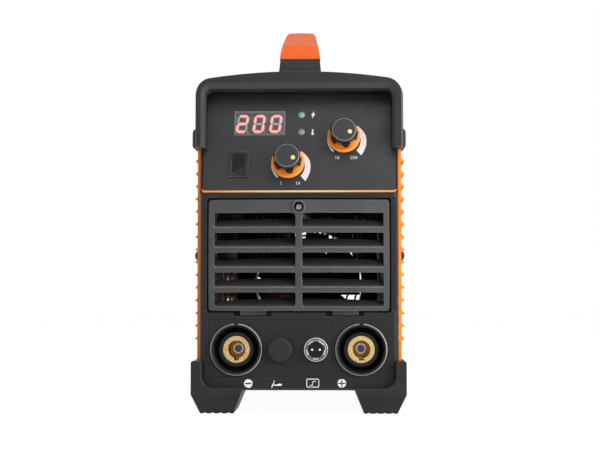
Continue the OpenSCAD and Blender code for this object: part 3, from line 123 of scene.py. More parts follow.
@dataclass
class Shape:
    """Flat figure made of filled outlines and bands, in millimetres.

    Attributes:
        points: Plane positions, one row each.
        faces: Vertex indices of each face, counter-clockwise.
        count: Number of positions so far.
    """

    points: list[np.ndarray] = field(default_factory=list)
    faces: list[list[int]] = field(default_factory=list)
    count: int = 0

    def fill(self, outline: Outline) -> "Shape":
        """Adds one filled outline.

        Args:
            outline: Points round it, one row each.

        Returns:
            This figure.
        """
        self.faces.append(list(range(self.count, self.count + len(outline))))
        self.points.append(np.asarray(outline, float))
        self.count += len(outline)
        return self

    def band(self, outer: Outline, inner: Outline, closed: bool = False) -> "Shape":
        """Adds the strip between two outlines with the same number of points.

        Args:
            outer: One side of the strip.
            inner: The other side.
            closed: Whether the last points join the first.

        Returns:
            This figure.
        """
        n, base = len(outer), self.count
        first = np.arange(n if closed else n - 1)
        after = (first + 1) % n
        quads = np.column_stack([first, after, after + n, first + n]) + base
        self.faces.extend(quads.tolist())
        self.points.extend([np.asarray(outer, float), np.asarray(inner, float)])
        self.count += 2 * n
        return self

    def stroke(self, path: Outline, width: float, closed: bool = False) -> "Shape":
        """Adds a line of even width: each point moves half the width to both sides, along the path's normal.

        Args:
            path: Points along the line.
            width: Width of the line.
            closed: Whether the last point joins the first.

        Returns:
            This figure.
        """
        path = np.asarray(path, float)
        if closed:
            step = np.roll(path, -1, 0) - np.roll(path, 1, 0)
        else:
            step = np.gradient(path, axis=0)
        normal = np.column_stack([step[:, 1], -step[:, 0]])
        normal /= np.linalg.norm(normal, axis=1, keepdims=True)
        return self.band(path + normal * width / 2, path - normal * width / 2, closed)

    def moved(self, by: tuple[float, float], scale: float = 1.0) -> "Shape":
        """Returns this figure scaled and then moved."""
        parts = [part * scale + np.array(by) for part in self.points]
        return Shape(parts, [list(f) for f in self.faces], self.count)

    def slanted(self, degrees: float) -> "Shape":
        """Shears the figure: x grows by y times the tangent of the slant.

        Args:
            degrees: Slant to the right.

        Returns:
            A new figure.
        """
        lean = math.tan(math.radians(degrees))
        parts = [part + np.outer(part[:, 1], [lean, 0]) for part in self.points]
        return Shape(parts, [list(f) for f in self.faces], self.count)

    def joined(self, *others: "Shape") -> "Shape":
        """Joins this figure and others into one.

        Args:
            others: Figures to add.

        Returns:
            A new figure.
        """
        result = Shape(list(self.points), [list(f) for f in self.faces], self.count)
        for other in others:
            result.faces.extend([[i + result.count for i in f] for f in other.faces])
            result.points.extend(other.points)
            result.count += other.count
        return result


@dataclass(frozen=True)
class Plane:
    """Flat place on the machine that carries marks.

    Attributes:
        origin: Point of the plane in metres.
        right: Direction of the figure's x.
        up: Direction of the figure's y.
        out: Normal that points out of the machine.
    """

    origin: Vector
    right: Vector
    up: Vector
    out: Vector

    def tilted(self, degrees: float) -> "Plane":
        """Turns the plane about its right direction.

        Args:
            degrees: Angle, its top leaning outwards when positive.

        Returns:
            A new plane.
        """
        a = math.radians(degrees)
        up, out = self.up, self.out
        cos, sin = math.cos(a), math.sin(a)
        return Plane(self.origin, self.right, up * cos + out * sin, out * cos - up * sin)

    def raised(self, height: float) -> "Plane":
        """Returns this plane moved outwards by height millimetres."""
        return Plane(self.origin + self.out * height * MM, self.right, self.up, self.out)

    def place(self, name: str, shape: Shape, body: str, lift: float = 0.03, depth: float = 0.05,
              dish: float = 0.0) -> bpy.types.Object:
        """Makes a thin printed figure on this plane, or on a round hollow that touches it along its middle.

        In a hollow of radius R the figure rises by R - sqrt(R^2 - y^2).

        Args:
            name: Piece name.
            shape: Figure in millimetres.
            body: CAD body that the piece rides on.
            lift: Height of its underside above the plane, in millimetres.
            depth: Thickness of the ink, in millimetres.
            dish: Radius of the hollow in millimetres, or zero on a flat place.

        Returns:
            The piece.
        """
        flat = np.vstack(shape.points)
        rise = dish - np.sqrt(dish**2 - flat[:, 1] ** 2) if dish else np.zeros(len(flat))
        basis = np.array([self.right, self.up, self.out])
        low = (np.column_stack([flat, rise + lift]) @ basis) * MM + np.array(self.origin)
        high = low + np.array(self.out) * depth * MM
        n = len(flat)
        faces = [[i + n for i in face] for face in shape.faces]
        faces += [face[::-1] for face in shape.faces]
        for face in shape.faces:
            ring = np.array(face)
            after = np.roll(ring, -1)
            faces += np.column_stack([ring, after, after + n, ring + n]).tolist()
        piece = make_mesh(name, np.vstack([low, high]), faces)
        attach(piece, body)
        LOG.info("piece %s on %s", name, body)
        return piece


# ------------------------------------------------------------------ material graphs


class Graph:
    """Node tree of one material, with recipes whose lengths are in millimetres."""

    def __init__(self, name: str) -> None:
        """Makes an empty material with a shader.

        Args:
            name: Material name.
        """
        self.material = bpy.data.materials.new(name)
        self.material.use_nodes = True
        self.tree = self.material.node_tree
        self.tree.nodes.clear()
        self.shader = self.add("ShaderNodeBsdfPrincipled")
        self.output = self.add("ShaderNodeOutputMaterial")
        self.link(self.shader.outputs[0], self.output.inputs["Surface"])
        self.where = self.add("ShaderNodeTexCoord").outputs["Object"]

    def add(self, kind: str, sockets: Optional[dict] = None, **settings: object) -> bpy.types.Node:
        """Adds a node.

        Args:
            kind: Node type.
            sockets: Values of its input sockets, by socket name.
            settings: Settings of the node itself.

        Returns:
            The node.
        """
        node = self.tree.nodes.new(kind)
        for key, value in settings.items():
            setattr(node, key, value)
        for key, value in (sockets or {}).items():
            node.inputs[key].default_value = value
        return node

    def link(self, source: bpy.types.NodeSocket, target: bpy.types.NodeSocket) -> None:
        """Links two sockets."""
        self.tree.links.new(source, target)

    def set(self, **values: object) -> None:
        """Sets constants on the shader's own sockets; underscores stand for spaces."""
        for key, value in values.items():
            self.shader.inputs[key.replace("_", " ")].default_value = value

    def stretched(self, scale: tuple[float, float, float]) -> bpy.types.NodeSocket:
        """Object coordinates multiplied by a scale.

        Args:
            scale: Factor along each axis.

        Returns:
            The scaled coordinates.
        """
        node = self.add("ShaderNodeMapping", {"Scale": scale})
        self.link(self.where, node.inputs["Vector"])
        return node.outputs[0]

    def noise(
        self, size: float, detail: float = 2, scale: tuple[float, float, float] = (1, 1, 1)
    ) -> bpy.types.NodeSocket:
        """Noise on object coordinates.

        Args:
            size: Size of its features in millimetres.
            detail: Number of finer layers.
            scale: Stretch along each axis.

        Returns:
            The noise, from zero to one.
        """
        node = self.add("ShaderNodeTexNoise", {"Scale": 1 / (size * MM), "Detail": detail})
        self.link(self.where if scale == (1, 1, 1) else self.stretched(scale), node.inputs["Vector"])
        return node.outputs["Fac"]

    def cells(self, size: float, feature: str = "F1") -> bpy.types.NodeSocket:
        """Voronoi pattern on object coordinates.

        Args:
            size: Size of a cell in millimetres.
            feature: What is measured in a cell.

        Returns:
            The distance within each cell.
        """
        node = self.add("ShaderNodeTexVoronoi", {"Scale": 1 / (size * MM)}, feature=feature)
        self.link(self.where, node.inputs["Vector"])
        return node.outputs["Distance"]

    def spread(
        self, value: bpy.types.NodeSocket, low: float, high: float, to_low: float = 0.0, to_high: float = 1.0
    ) -> bpy.types.NodeSocket:
        """Maps one range of a value to another, clamped at both ends.

        Args:
            value: Value to map.
            low: Start of its range.
            high: End of its range.
            to_low: Result at the start.
            to_high: Result at the end.

        Returns:
            The mapped value.
        """
        ranges = {"From Min": low, "From Max": high, "To Min": to_low, "To Max": to_high}
        node = self.add("ShaderNodeMapRange", ranges)
        self.link(value, node.inputs["Value"])
        return node.outputs[0]

    def blend(self, amount: bpy.types.NodeSocket, first: object, second: object) -> bpy.types.NodeSocket:
        """Mixes two colours.

        Args:
            amount: Share of the second.
            first: A colour or a socket.
            second: A colour or a socket.

        Returns:
            The mixed colour.
        """
        node = self.add("ShaderNodeMix", data_type="RGBA")
        self.link(amount, node.inputs["Factor"])
        for value, socket in ((first, node.inputs[6]), (second, node.inputs[7])):
            if isinstance(value, bpy.types.NodeSocket):
                self.link(value, socket)
            else:
                socket.default_value = value
        return node.outputs[2]

    def maths(self, kind: str, first: bpy.types.NodeSocket, second: object) -> bpy.types.NodeSocket:
        """Does one arithmetic step.

        Args:
            kind: Operation.
            first: First value.
            second: A number or a socket.

        Returns:
            The result.
        """
        node = self.add("ShaderNodeMath", operation=kind)
        self.link(first, node.inputs[0])
        if isinstance(second, bpy.types.NodeSocket):
            self.link(second, node.inputs[1])
        else:
            node.inputs[1].default_value = second
        return node.outputs[0]

    def between(
        self, value: bpy.types.NodeSocket, low: float, high: float, soft: float = 0.15
    ) -> bpy.types.NodeSocket:
        """Mask of a stretch of a length.

        Args:
            value: Length in metres.
            low: Start of the stretch in millimetres.
            high: End of the stretch in millimetres.
            soft: Half width of its soft ends in millimetres.

        Returns:
            One inside the stretch, zero outside.
        """
        rise = self.spread(value, (low - soft) * MM, (low + soft) * MM)
        fall = self.spread(value, (high - soft) * MM, (high + soft) * MM, 1.0, 0.0)
        return self.maths("MULTIPLY", rise, fall)

    def local(self, plane: Plane, mirrored: bool = False) -> tuple[bpy.types.NodeSocket, ...]:
        """Coordinates in a plane's own frame.

        Args:
            plane: Plane whose normal is the axis.
            mirrored: Whether the part has a twin on the other side of the machine's middle.

        Returns:
            Metres across, up and out, and the distance from the axis.
        """
        where = self.where
        if mirrored:
            parts = self.add("ShaderNodeSeparateXYZ")
            self.link(where, parts.inputs[0])
            joined = self.add("ShaderNodeCombineXYZ")
            self.link(self.maths("ABSOLUTE", parts.outputs[0], 0.0), joined.inputs[0])
            self.link(parts.outputs[1], joined.inputs[1])
            self.link(parts.outputs[2], joined.inputs[2])
            where = joined.outputs[0]
        turn = Matrix((plane.right, plane.up, plane.out)).transposed().to_euler()
        place = {"Location": plane.origin, "Rotation": turn}
        frame_node = self.add("ShaderNodeMapping", place, vector_type="TEXTURE")
        self.link(where, frame_node.inputs["Vector"])
        axes = self.add("ShaderNodeSeparateXYZ")
        self.link(frame_node.outputs[0], axes.inputs[0])
        flat = self.add("ShaderNodeVectorMath", operation="MULTIPLY")
        flat.inputs[1].default_value = (1.0, 1.0, 0.0)
        self.link(frame_node.outputs[0], flat.inputs[0])
        length = self.add("ShaderNodeVectorMath", operation="LENGTH")
        self.link(flat.outputs[0], length.inputs[0])
        return axes.outputs[0], axes.outputs[1], axes.outputs[2], length.outputs["Value"]

    def axes(self, centre: tuple[float, float, float] = (0.0, 0.0, 0.0)) -> bpy.types.NodeOutputs:
        """Object coordinates about a point, one output for each axis.

        Args:
            centre: The point in metres.

        Returns:
            The three outputs.
        """
        where = self.where
        if any(centre):
            shift = self.add("ShaderNodeMapping", {"Location": tuple(-c for c in centre)})
            self.link(where, shift.inputs[0])
            where = shift.outputs[0]
        parts = self.add("ShaderNodeSeparateXYZ")
        self.link(where, parts.inputs[0])
        return parts.outputs

    def soft_edges(self, radius: float) -> tuple[bpy.types.NodeSocket, bpy.types.NodeSocket]:
        """Rounds edges in shading.

        Args:
            radius: Edge radius in millimetres.

        Returns:
            The rounded normal, and a mask that is one on the edges.
        """
        bevel = self.add("ShaderNodeBevel", {"Radius": radius * MM}, samples=6)
        dot = self.add("ShaderNodeVectorMath", operation="DOT_PRODUCT")
        self.link(bevel.outputs[0], dot.inputs[0])
        self.link(self.add("ShaderNodeNewGeometry").outputs["Normal"], dot.inputs[1])
        return bevel.outputs[0], self.spread(dot.outputs["Value"], 0.995, 0.8)

    def bump(
        self, height: bpy.types.NodeSocket, depth: float, normal: Optional[bpy.types.NodeSocket] = None
    ) -> bpy.types.NodeSocket:
        """Raises the surface in shading.

        Args:
            height: Height, from zero to one.
            depth: Height of one in millimetres.
            normal: Earlier normal to start from.

        Returns:
            The new normal.
        """
        node = self.add("ShaderNodeBump", {"Distance": depth * MM, "Strength": 1.0})
        self.link(height, node.inputs["Height"])
        if normal is not None:
            self.link(normal, node.inputs["Normal"])
        return node.outputs[0]

    def finish(
        self, colour: object, roughness: object, normal: Optional[bpy.types.NodeSocket]
    ) -> bpy.types.Material:
        """Joins colour, roughness and normal to the shader.

        Args:
            colour: A colour or a socket.
            roughness: A number or a socket.
            normal: A normal, or nothing for the plain one.

        Returns:
            The material.
        """
        for value, key in ((colour, "Base Color"), (roughness, "Roughness")):
            if isinstance(value, bpy.types.NodeSocket):
                self.link(value, self.shader.inputs[key])
            else:
                self.shader.inputs[key].default_value = value
        if normal is not None:
            self.link(normal, self.shader.inputs["Normal"])
        return self.material


class Finish(Protocol):
    """Anything that can build a material."""

    def build(self) -> bpy.types.Material:
        """Returns the material."""


@dataclass(frozen=True)
class Hollow:
    """Shade of what lies behind a bowed face.

    Attributes:
        centre: Centre of the bow in metres.
        radius: Radius of the bow in millimetres.
        near: Depth at which the shade starts, in millimetres.
        far: Depth of the full shade, in millimetres.
        colour: Colour of the shade.
    """

    centre: tuple[float, float, float]
    radius: float
    near: float
    far: float
    colour: str

    def amount(self, g: Graph) -> bpy.types.NodeSocket:
        """Share of the shade: depth is the bow's radius less the distance from its centre.

        Args:
            g: Graph of the material.

        Returns:
            The share, from zero to one.
        """
        distance = g.add("ShaderNodeVectorMath", operation="DISTANCE")
        distance.inputs[1].default_value = self.centre
        g.link(g.where, distance.inputs[0])
        face = self.radius * MM
        return g.spread(distance.outputs["Value"], face - self.far * MM, face - self.near * MM, 1.0, 0.0)


@dataclass(frozen=True)
class MouldedPlastic:
    """Spark-textured moulding: fine grain, faint tone changes and edges painted paler, as rubbed wear and as
    painted highlight.

    Attributes:
        name: Material name.
        colour: Main colour.
        lift: Colour of the paler patches.
        edge: Colour of the edges, paler as rubbed wear and as painted highlight.
        roughness: Mean roughness.
        grain: Size of the grain in millimetres.
        depth: Height of the grain in millimetres.
        edge_radius: Radius of the moulded edges in millimetres.
        specular: Specular level.
        lit_facet: Paler colour painted on the faces that lean away from the front as painted light, or
            nothing.
        hollow: Shade behind a bowed face, if any.
    """

    name: str
    colour: str
    lift: str
    edge: str
    roughness: float = 0.52
    grain: float = 0.35
    depth: float = 0.02
    edge_radius: float = 0.5
    specular: float = 0.22
    lit_facet: str = ""
    hollow: Optional[Hollow] = None

    def build(self) -> bpy.types.Material:
        """Builds the material.

        Returns:
            The material.
        """
        g = Graph(self.name)
        normal, mask = g.soft_edges(self.edge_radius)
        cloud = g.spread(g.noise(22, 3), 0.35, 0.7)
        base = g.blend(cloud, srgb(self.colour), srgb(self.lift))
        # Painted light: faces that lean away from the front take the paler facet colour.
        if self.lit_facet:
            axes = g.add("ShaderNodeSeparateXYZ")
            g.link(g.add("ShaderNodeNewGeometry").outputs["Normal"], axes.inputs[0])
            lean = g.spread(g.maths("ABSOLUTE", axes.outputs[1], 0.0), 0.98, 0.9)
            base = g.blend(lean, base, srgb(self.lit_facet))
        if self.hollow:
            base = g.blend(self.hollow.amount(g), base, srgb(self.hollow.colour))
        # Rubbed wear and painted highlight: the edges blend towards the edge colour.
        rub_and_highlight = g.maths("MULTIPLY", mask, g.spread(g.noise(3.5, 3), 0.3, 0.7, 0.5, 1.0))
        colour = g.blend(rub_and_highlight, base, srgb(self.edge))
        grain = g.noise(self.grain, 2)
        rough = g.spread(g.noise(9, 4), 0.3, 0.7, self.roughness - 0.05, self.roughness + 0.06)
        g.set(Specular_IOR_Level=self.specular)
        return g.finish(colour, rough, g.bump(grain, self.depth, normal))


@dataclass(frozen=True)
class PowderCoat:
    """Baked powder paint on sheet steel: satin gloss with a faint orange-peel surface.

    Attributes:
        name: Material name.
        colour: Paint colour.
        shade: Colour of the deeper patches.
        edge: Colour of the edges, where the paint is thin, paler also as painted highlight.
        roughness: Mean roughness.
        peel: Size of the orange peel in millimetres.
    """

    name: str
    colour: str
    shade: str
    edge: str
    roughness: float = 0.36
    peel: float = 1.3

    def build(self) -> bpy.types.Material:
        """Builds the material.

        Returns:
            The material.
        """
        g = Graph(self.name)
        normal, mask = g.soft_edges(0.5)
        base = g.blend(g.spread(g.noise(40, 3), 0.3, 0.7), srgb(self.colour), srgb(self.shade))
        # Thin paint and painted highlight: the edges blend towards the edge colour.
        colour = g.blend(g.maths("MULTIPLY", mask, 0.5), base, srgb(self.edge))
        rough = g.spread(g.noise(14, 3), 0.3, 0.7, self.roughness - 0.04, self.roughness + 0.05)
        g.set(Specular_IOR_Level=0.28)
        return g.finish(colour, rough, g.bump(g.noise(self.peel, 1), 0.006, normal))


@dataclass(frozen=True)
class Metal:
    """Worked metal with directional polish lines and soft tarnish.

    Attributes:
        name: Material name.
        colour: Clean colour.
        tarnish: Colour of the duller patches.
        roughness: Mean roughness.
        edge: Colour of the edges, paler as rubbed wear and as painted highlight.
        lines: How much the polish lines stretch along each axis.
        depth: Depth of the lines in millimetres.
        edge_radius: Radius of the edges in millimetres.
    """

    name: str
    colour: str
    tarnish: str
    roughness: float = 0.28
    edge: str = "#e6e8ec"
    lines: tuple[float, float, float] = (1.0, 0.08, 1.0)
    depth: float = 0.004
    edge_radius: float = 0.3

    def build(self) -> bpy.types.Material:
        """Builds the material.

        Returns:
            The material.
        """
        g = Graph(self.name)
        normal, mask = g.soft_edges(self.edge_radius)
        stain = g.spread(g.noise(5, 4), 0.35, 0.75)
        colour = g.blend(stain, srgb(self.colour), srgb(self.tarnish))
        # Rubbed wear and painted highlight: the edges blend towards the edge colour.
        colour = g.blend(g.maths("MULTIPLY", mask, 0.7), colour, srgb(self.edge))
        lines = g.noise(0.35, 2, self.lines)
        rough = g.spread(stain, 0, 1, self.roughness, self.roughness + 0.14)
        g.set(Metallic=1.0)
        return g.finish(colour, rough, g.bump(lines, self.depth, normal))


@dataclass(frozen=True)
class Band:
    """Region of a round part with a colour of its own; on some parts a band is painted highlight, painted
    reflection or painted shade.

    Attributes:
        colour: Its colour.
        radii: Inner and outer radius in millimetres.
        heights: Lowest and highest place along the axis in millimetres.
        notches: Number of notches round the axis, or zero for a plain band.
    """

    colour: str
    radii: tuple[float, float]
    heights: tuple[float, float] = (-60.0, 60.0)
    notches: int = 0


@dataclass(frozen=True)
class TurnedFinish:
    """Finish of a round part: a speckled base, with bands by distance from its axis and height along it.

    Attributes:
        name: Material name.
        plane: Frame whose normal is the part's axis.
        colour: Base colour.
        speckle: Colour of the specks.
        bands: Bands, each over the ones before.
        metallic: Share of metal.
        roughness: Roughness of the base and of the specks.
        grain: Size of the specks in millimetres.
        depth: Height of the specks in millimetres.
        edge: Colour of the rounded edges, a painted highlight.
        edge_radius: Radius of the edges in millimetres.
        specular: Specular level.
        mirrored: Whether the node holds a twin of the part on the other side.
    """

    name: str
    plane: Plane
    colour: str
    speckle: str
    bands: tuple[Band, ...] = ()
    metallic: float = 0.0
    roughness: tuple[float, float] = (0.38, 0.46)
    grain: float = 0.6
    depth: float = 0.008
    edge: str = "#77777a"
    edge_radius: float = 0.3
    specular: float = 0.25
    mirrored: bool = False

    def build(self) -> bpy.types.Material:
        """Builds the material.

        Returns:
            The material.
        """
        g = Graph(self.name)
        across, up, out, radius = g.local(self.plane, self.mirrored)
        normal, mask = g.soft_edges(self.edge_radius)
        speck = g.spread(g.noise(self.grain, 4), 0.44, 0.58)
        colour = g.blend(speck, srgb(self.colour), srgb(self.speckle))
        for band in self.bands:
            inside = g.maths("MULTIPLY", g.between(radius, *band.radii), g.between(out, *band.heights))
            if band.notches:
                turn = g.maths("MULTIPLY", g.maths("ARCTAN2", up, across), float(band.notches))
                inside = g.maths("MULTIPLY", inside, g.spread(g.maths("SINE", turn, 0.0), -0.2, 0.2))
            colour = g.blend(g.maths("MULTIPLY", inside, 0.92), colour, srgb(band.colour))
        # Painted highlight on the rounded edges.
        colour = g.blend(g.maths("MULTIPLY", mask, 0.6), colour, srgb(self.edge))
        g.set(Metallic=self.metallic, Specular_IOR_Level=self.specular)
        return g.finish(colour, g.spread(speck, 0, 1, *self.roughness), g.bump(speck, self.depth, normal))


@dataclass(frozen=True)
class GlossPlastic:
    """Polished moulding with fine swirl marks.

    Attributes:
        name: Material name.
        colour: Colour.
        lift: Colour of the faint dust on it.
        edge: Colour of the rounded edges, which catch the light.
        roughness: Roughness of the polish.
        edge_radius: Radius of the edges in millimetres.
    """

    name: str
    colour: str
    lift: str
    edge: str
    roughness: float = 0.2
    edge_radius: float = 0.35

    def build(self) -> bpy.types.Material:
        """Builds the material.

        Returns:
            The material.
        """
        g = Graph(self.name)
        normal, mask = g.soft_edges(self.edge_radius)
        dust = g.spread(g.noise(6, 5), 0.45, 0.8)
        colour = g.blend(dust, srgb(self.colour), srgb(self.lift))
        colour = g.blend(g.maths("MULTIPLY", mask, 0.85), colour, srgb(self.edge))
        rough = g.spread(dust, 0, 1, self.roughness, self.roughness + 0.15)
        g.set(Specular_IOR_Level=0.25)
        return g.finish(colour, rough, g.bump(g.noise(1.8, 2), 0.004, normal))


@dataclass(frozen=True)
class Ink:
    """Screen-printed ink: matt, with a faint breakup at its edges.

    Attributes:
        name: Material name.
        colour: Ink colour.
        thin: Colour where the ink is thin.
    """

    name: str
    colour: str
    thin: str

    def build(self) -> bpy.types.Material:
        """Builds the material.

        Returns:
            The material.
        """
        g = Graph(self.name)
        colour = g.blend(g.spread(g.noise(0.4, 3), 0.35, 0.62), srgb(self.thin), srgb(self.colour))
        return g.finish(colour, g.spread(g.noise(2, 2), 0.3, 0.7, 0.45, 0.6), g.bump(g.noise(0.2, 2), 0.01))


@dataclass(frozen=True)
class StripePaint:
    """Trim stripe: orange at its ends, fading to peach over its middle.

    Attributes:
        name: Material name.
        half: Half width of the stripe in millimetres.
    """

    name: str = "stripe_paint"
    half: float = 73.0

    def build(self) -> bpy.types.Material:
        """Builds the material.

        Returns:
            The material.
        """
        g = Graph(self.name)
        away = g.maths("ABSOLUTE", g.axes()[0], 0.0)
        fade = g.spread(away, 0.2 * self.half * MM, 0.95 * self.half * MM)
        colour = g.blend(fade, srgb("#d9ad72"), srgb("#cf7c30"))
        colour = g.blend(g.spread(g.noise(5, 3), 0.45, 0.8, 0, 0.25), colour, srgb("#c48a4c"))
        return g.finish(colour, 0.42, g.bump(g.noise(1.2, 1), 0.006))


@dataclass(frozen=True)
class SmokedWindow:
    """Grey acrylic filter in front of the readout, with a paler rim painted as the light on its bevel.

    Attributes:
        name: Material name.
        centre: Middle of the window in metres.
        half: Half width and half height in millimetres.
        rim: Width of the rim in millimetres.
    """

    centre: tuple[float, float, float]
    half: tuple[float, float]
    name: str = "smoked_acrylic"
    rim: float = 1.6

    def build(self) -> bpy.types.Material:
        """Builds the material.

        Returns:
            The material.
        """
        g = Graph(self.name)
        axes = g.axes(self.centre)
        side, ends = (
            g.spread(g.maths("ABSOLUTE", axis, 0.0), (half - self.rim) * MM, half * MM)
            for axis, half in ((axes[0], self.half[0]), (axes[2], self.half[1]))
        )
        rim = g.maths("MAXIMUM", side, ends)
        cloud = g.blend(g.spread(g.noise(4, 4), 0.3, 0.7), srgb("#323435"), srgb("#3e4142"))
        # Painted highlight: the rim blends towards a pale grey.
        colour = g.blend(g.maths("MULTIPLY", rim, 0.6), cloud, srgb("#808285"))
        g.set(Specular_IOR_Level=0.4)
        return g.finish(colour, g.spread(g.noise(8, 2), 0.3, 0.7, 0.22, 0.34), g.bump(g.noise(2.5, 1), 0.004))


@dataclass(frozen=True)
class Glow:
    """Lit plastic whose light is uneven across the part.

    Attributes:
        name: Material name.
        core: Colour of the brightest places.
        edge: Colour of the dimmer places.
        strength: Emission strength.
        patch: Size of the uneven patches in millimetres.
    """

    name: str
    core: str
    edge: str
    strength: float = 0.8
    patch: float = 2.5

    def build(self) -> bpy.types.Material:
        """Builds the material.

        Returns:
            The material.
        """
        g = Graph(self.name)
        colour = g.blend(g.spread(g.noise(self.patch, 2), 0.35, 0.65), srgb(self.edge), srgb(self.core))
        g.link(colour, g.shader.inputs["Emission Color"])
        g.set(Emission_Strength=self.strength)
        return g.finish(srgb("#3a1512"), 0.4, g.bump(g.noise(1, 1), 0.004))


@dataclass(frozen=True)
class Lens:
    """Diffused lamp lens, painted greyer towards its upper rim as painted shade.

    Attributes:
        name: Material name.
        centre: Middle of the lens in metres.
        radius: Radius in millimetres.
        colour: Colour of the lens.
        shade: Colour of its upper rim, painted shade.
        glow: Emission strength.
    """

    name: str
    centre: tuple[float, float, float]
    radius: float
    colour: str
    shade: str
    glow: float = 0.0

    def build(self) -> bpy.types.Material:
        """Builds the material.

        Returns:
            The material.
        """
        g = Graph(self.name)
        # Painted shade towards the upper rim.
        rise = g.spread(g.axes(self.centre)[2], 0.25 * self.radius * MM, 0.9 * self.radius * MM)
        colour = g.blend(rise, srgb(self.colour), srgb(self.shade))
        g.link(colour, g.shader.inputs["Emission Color"])
        g.set(Emission_Strength=self.glow, Specular_IOR_Level=0.3)
        return g.finish(colour, 0.35, g.bump(g.noise(0.8, 2), 0.01))


@dataclass(frozen=True)
class Laminate:
    """Circuit board: solder mask over copper tracks, with tinned pads."""

    name: str = "circuit_laminate"

    def build(self) -> bpy.types.Material:
        """Builds the material.

        Returns:
            The material.
        """
        g = Graph(self.name)
        tracks = g.spread(g.cells(5.0, "DISTANCE_TO_EDGE"), 0.05, 0.09)
        pads = g.spread(g.cells(3.2), 0.18, 0.2)
        colour = g.blend(tracks, srgb("#3f8a5a"), srgb("#1c4f33"))
        colour = g.blend(pads, srgb("#b9b8ae"), colour)
        return g.finish(colour, g.spread(pads, 0, 1, 0.3, 0.45), g.bump(tracks, 0.04))


@dataclass(frozen=True)
class Winding:
    """Enamelled wire laid turn by turn, bands running round the coil.

    Attributes:
        name: Material name.
        colour: Colour of the wire.
        gap: Colour between turns.
        pitch: Distance from turn to turn in millimetres.
    """

    name: str
    colour: str
    gap: str
    pitch: float = 1.6

    def build(self) -> bpy.types.Material:
        """Builds the material.

        Returns:
            The material.
        """
        g = Graph(self.name)
        waves = {"Scale": 1 / (self.pitch * MM) / 3.2, "Distortion": 0.6}
        wave = g.add("ShaderNodeTexWave", waves, bands_direction="Z")
        g.link(g.where, wave.inputs["Vector"])
        turn = g.spread(wave.outputs["Fac"], 0.1, 0.7)
        g.set(Metallic=0.5)
        return g.finish(g.blend(turn, srgb(self.gap), srgb(self.colour)), 0.35, g.bump(turn, 0.4))


@dataclass(frozen=True)
class StudioPaper:
    """Seamless white paper of the floor, which keeps a soft share of the machine's shadow.

    Attributes:
        name: Material name.
        white: Share of plain white in what the camera and mirrors see of it.
    """

    name: str = "studio_paper"
    white: float = 0.92

    def build(self) -> bpy.types.Material:
        """Builds the material.

        Returns:
            The material.
        """
        g = Graph(self.name)
        colour = g.blend(g.noise(60, 3), srgb("#f6f6f6"), srgb("#fbfbfb"))
        path = g.add("ShaderNodeLightPath").outputs
        seen = g.maths("MAXIMUM", path["Is Camera Ray"], path["Is Glossy Ray"])
        seen = g.maths("MAXIMUM", seen, path["Is Transmission Ray"])
        white = g.add("ShaderNodeEmission", {"Color": (1, 1, 1, 1), "Strength": 1.05})
        mix = g.add("ShaderNodeMixShader")
        g.link(g.maths("MULTIPLY", seen, self.white), mix.inputs[0])
        g.link(g.shader.outputs[0], mix.inputs[1])
        g.link(white.outputs[0], mix.inputs[2])
        material = g.finish(colour, 0.75, g.bump(g.noise(2, 2), 0.01))
        g.link(mix.outputs[0], g.output.inputs["Surface"])
        return material


# ------------------------------------------------------------------ which node wears what


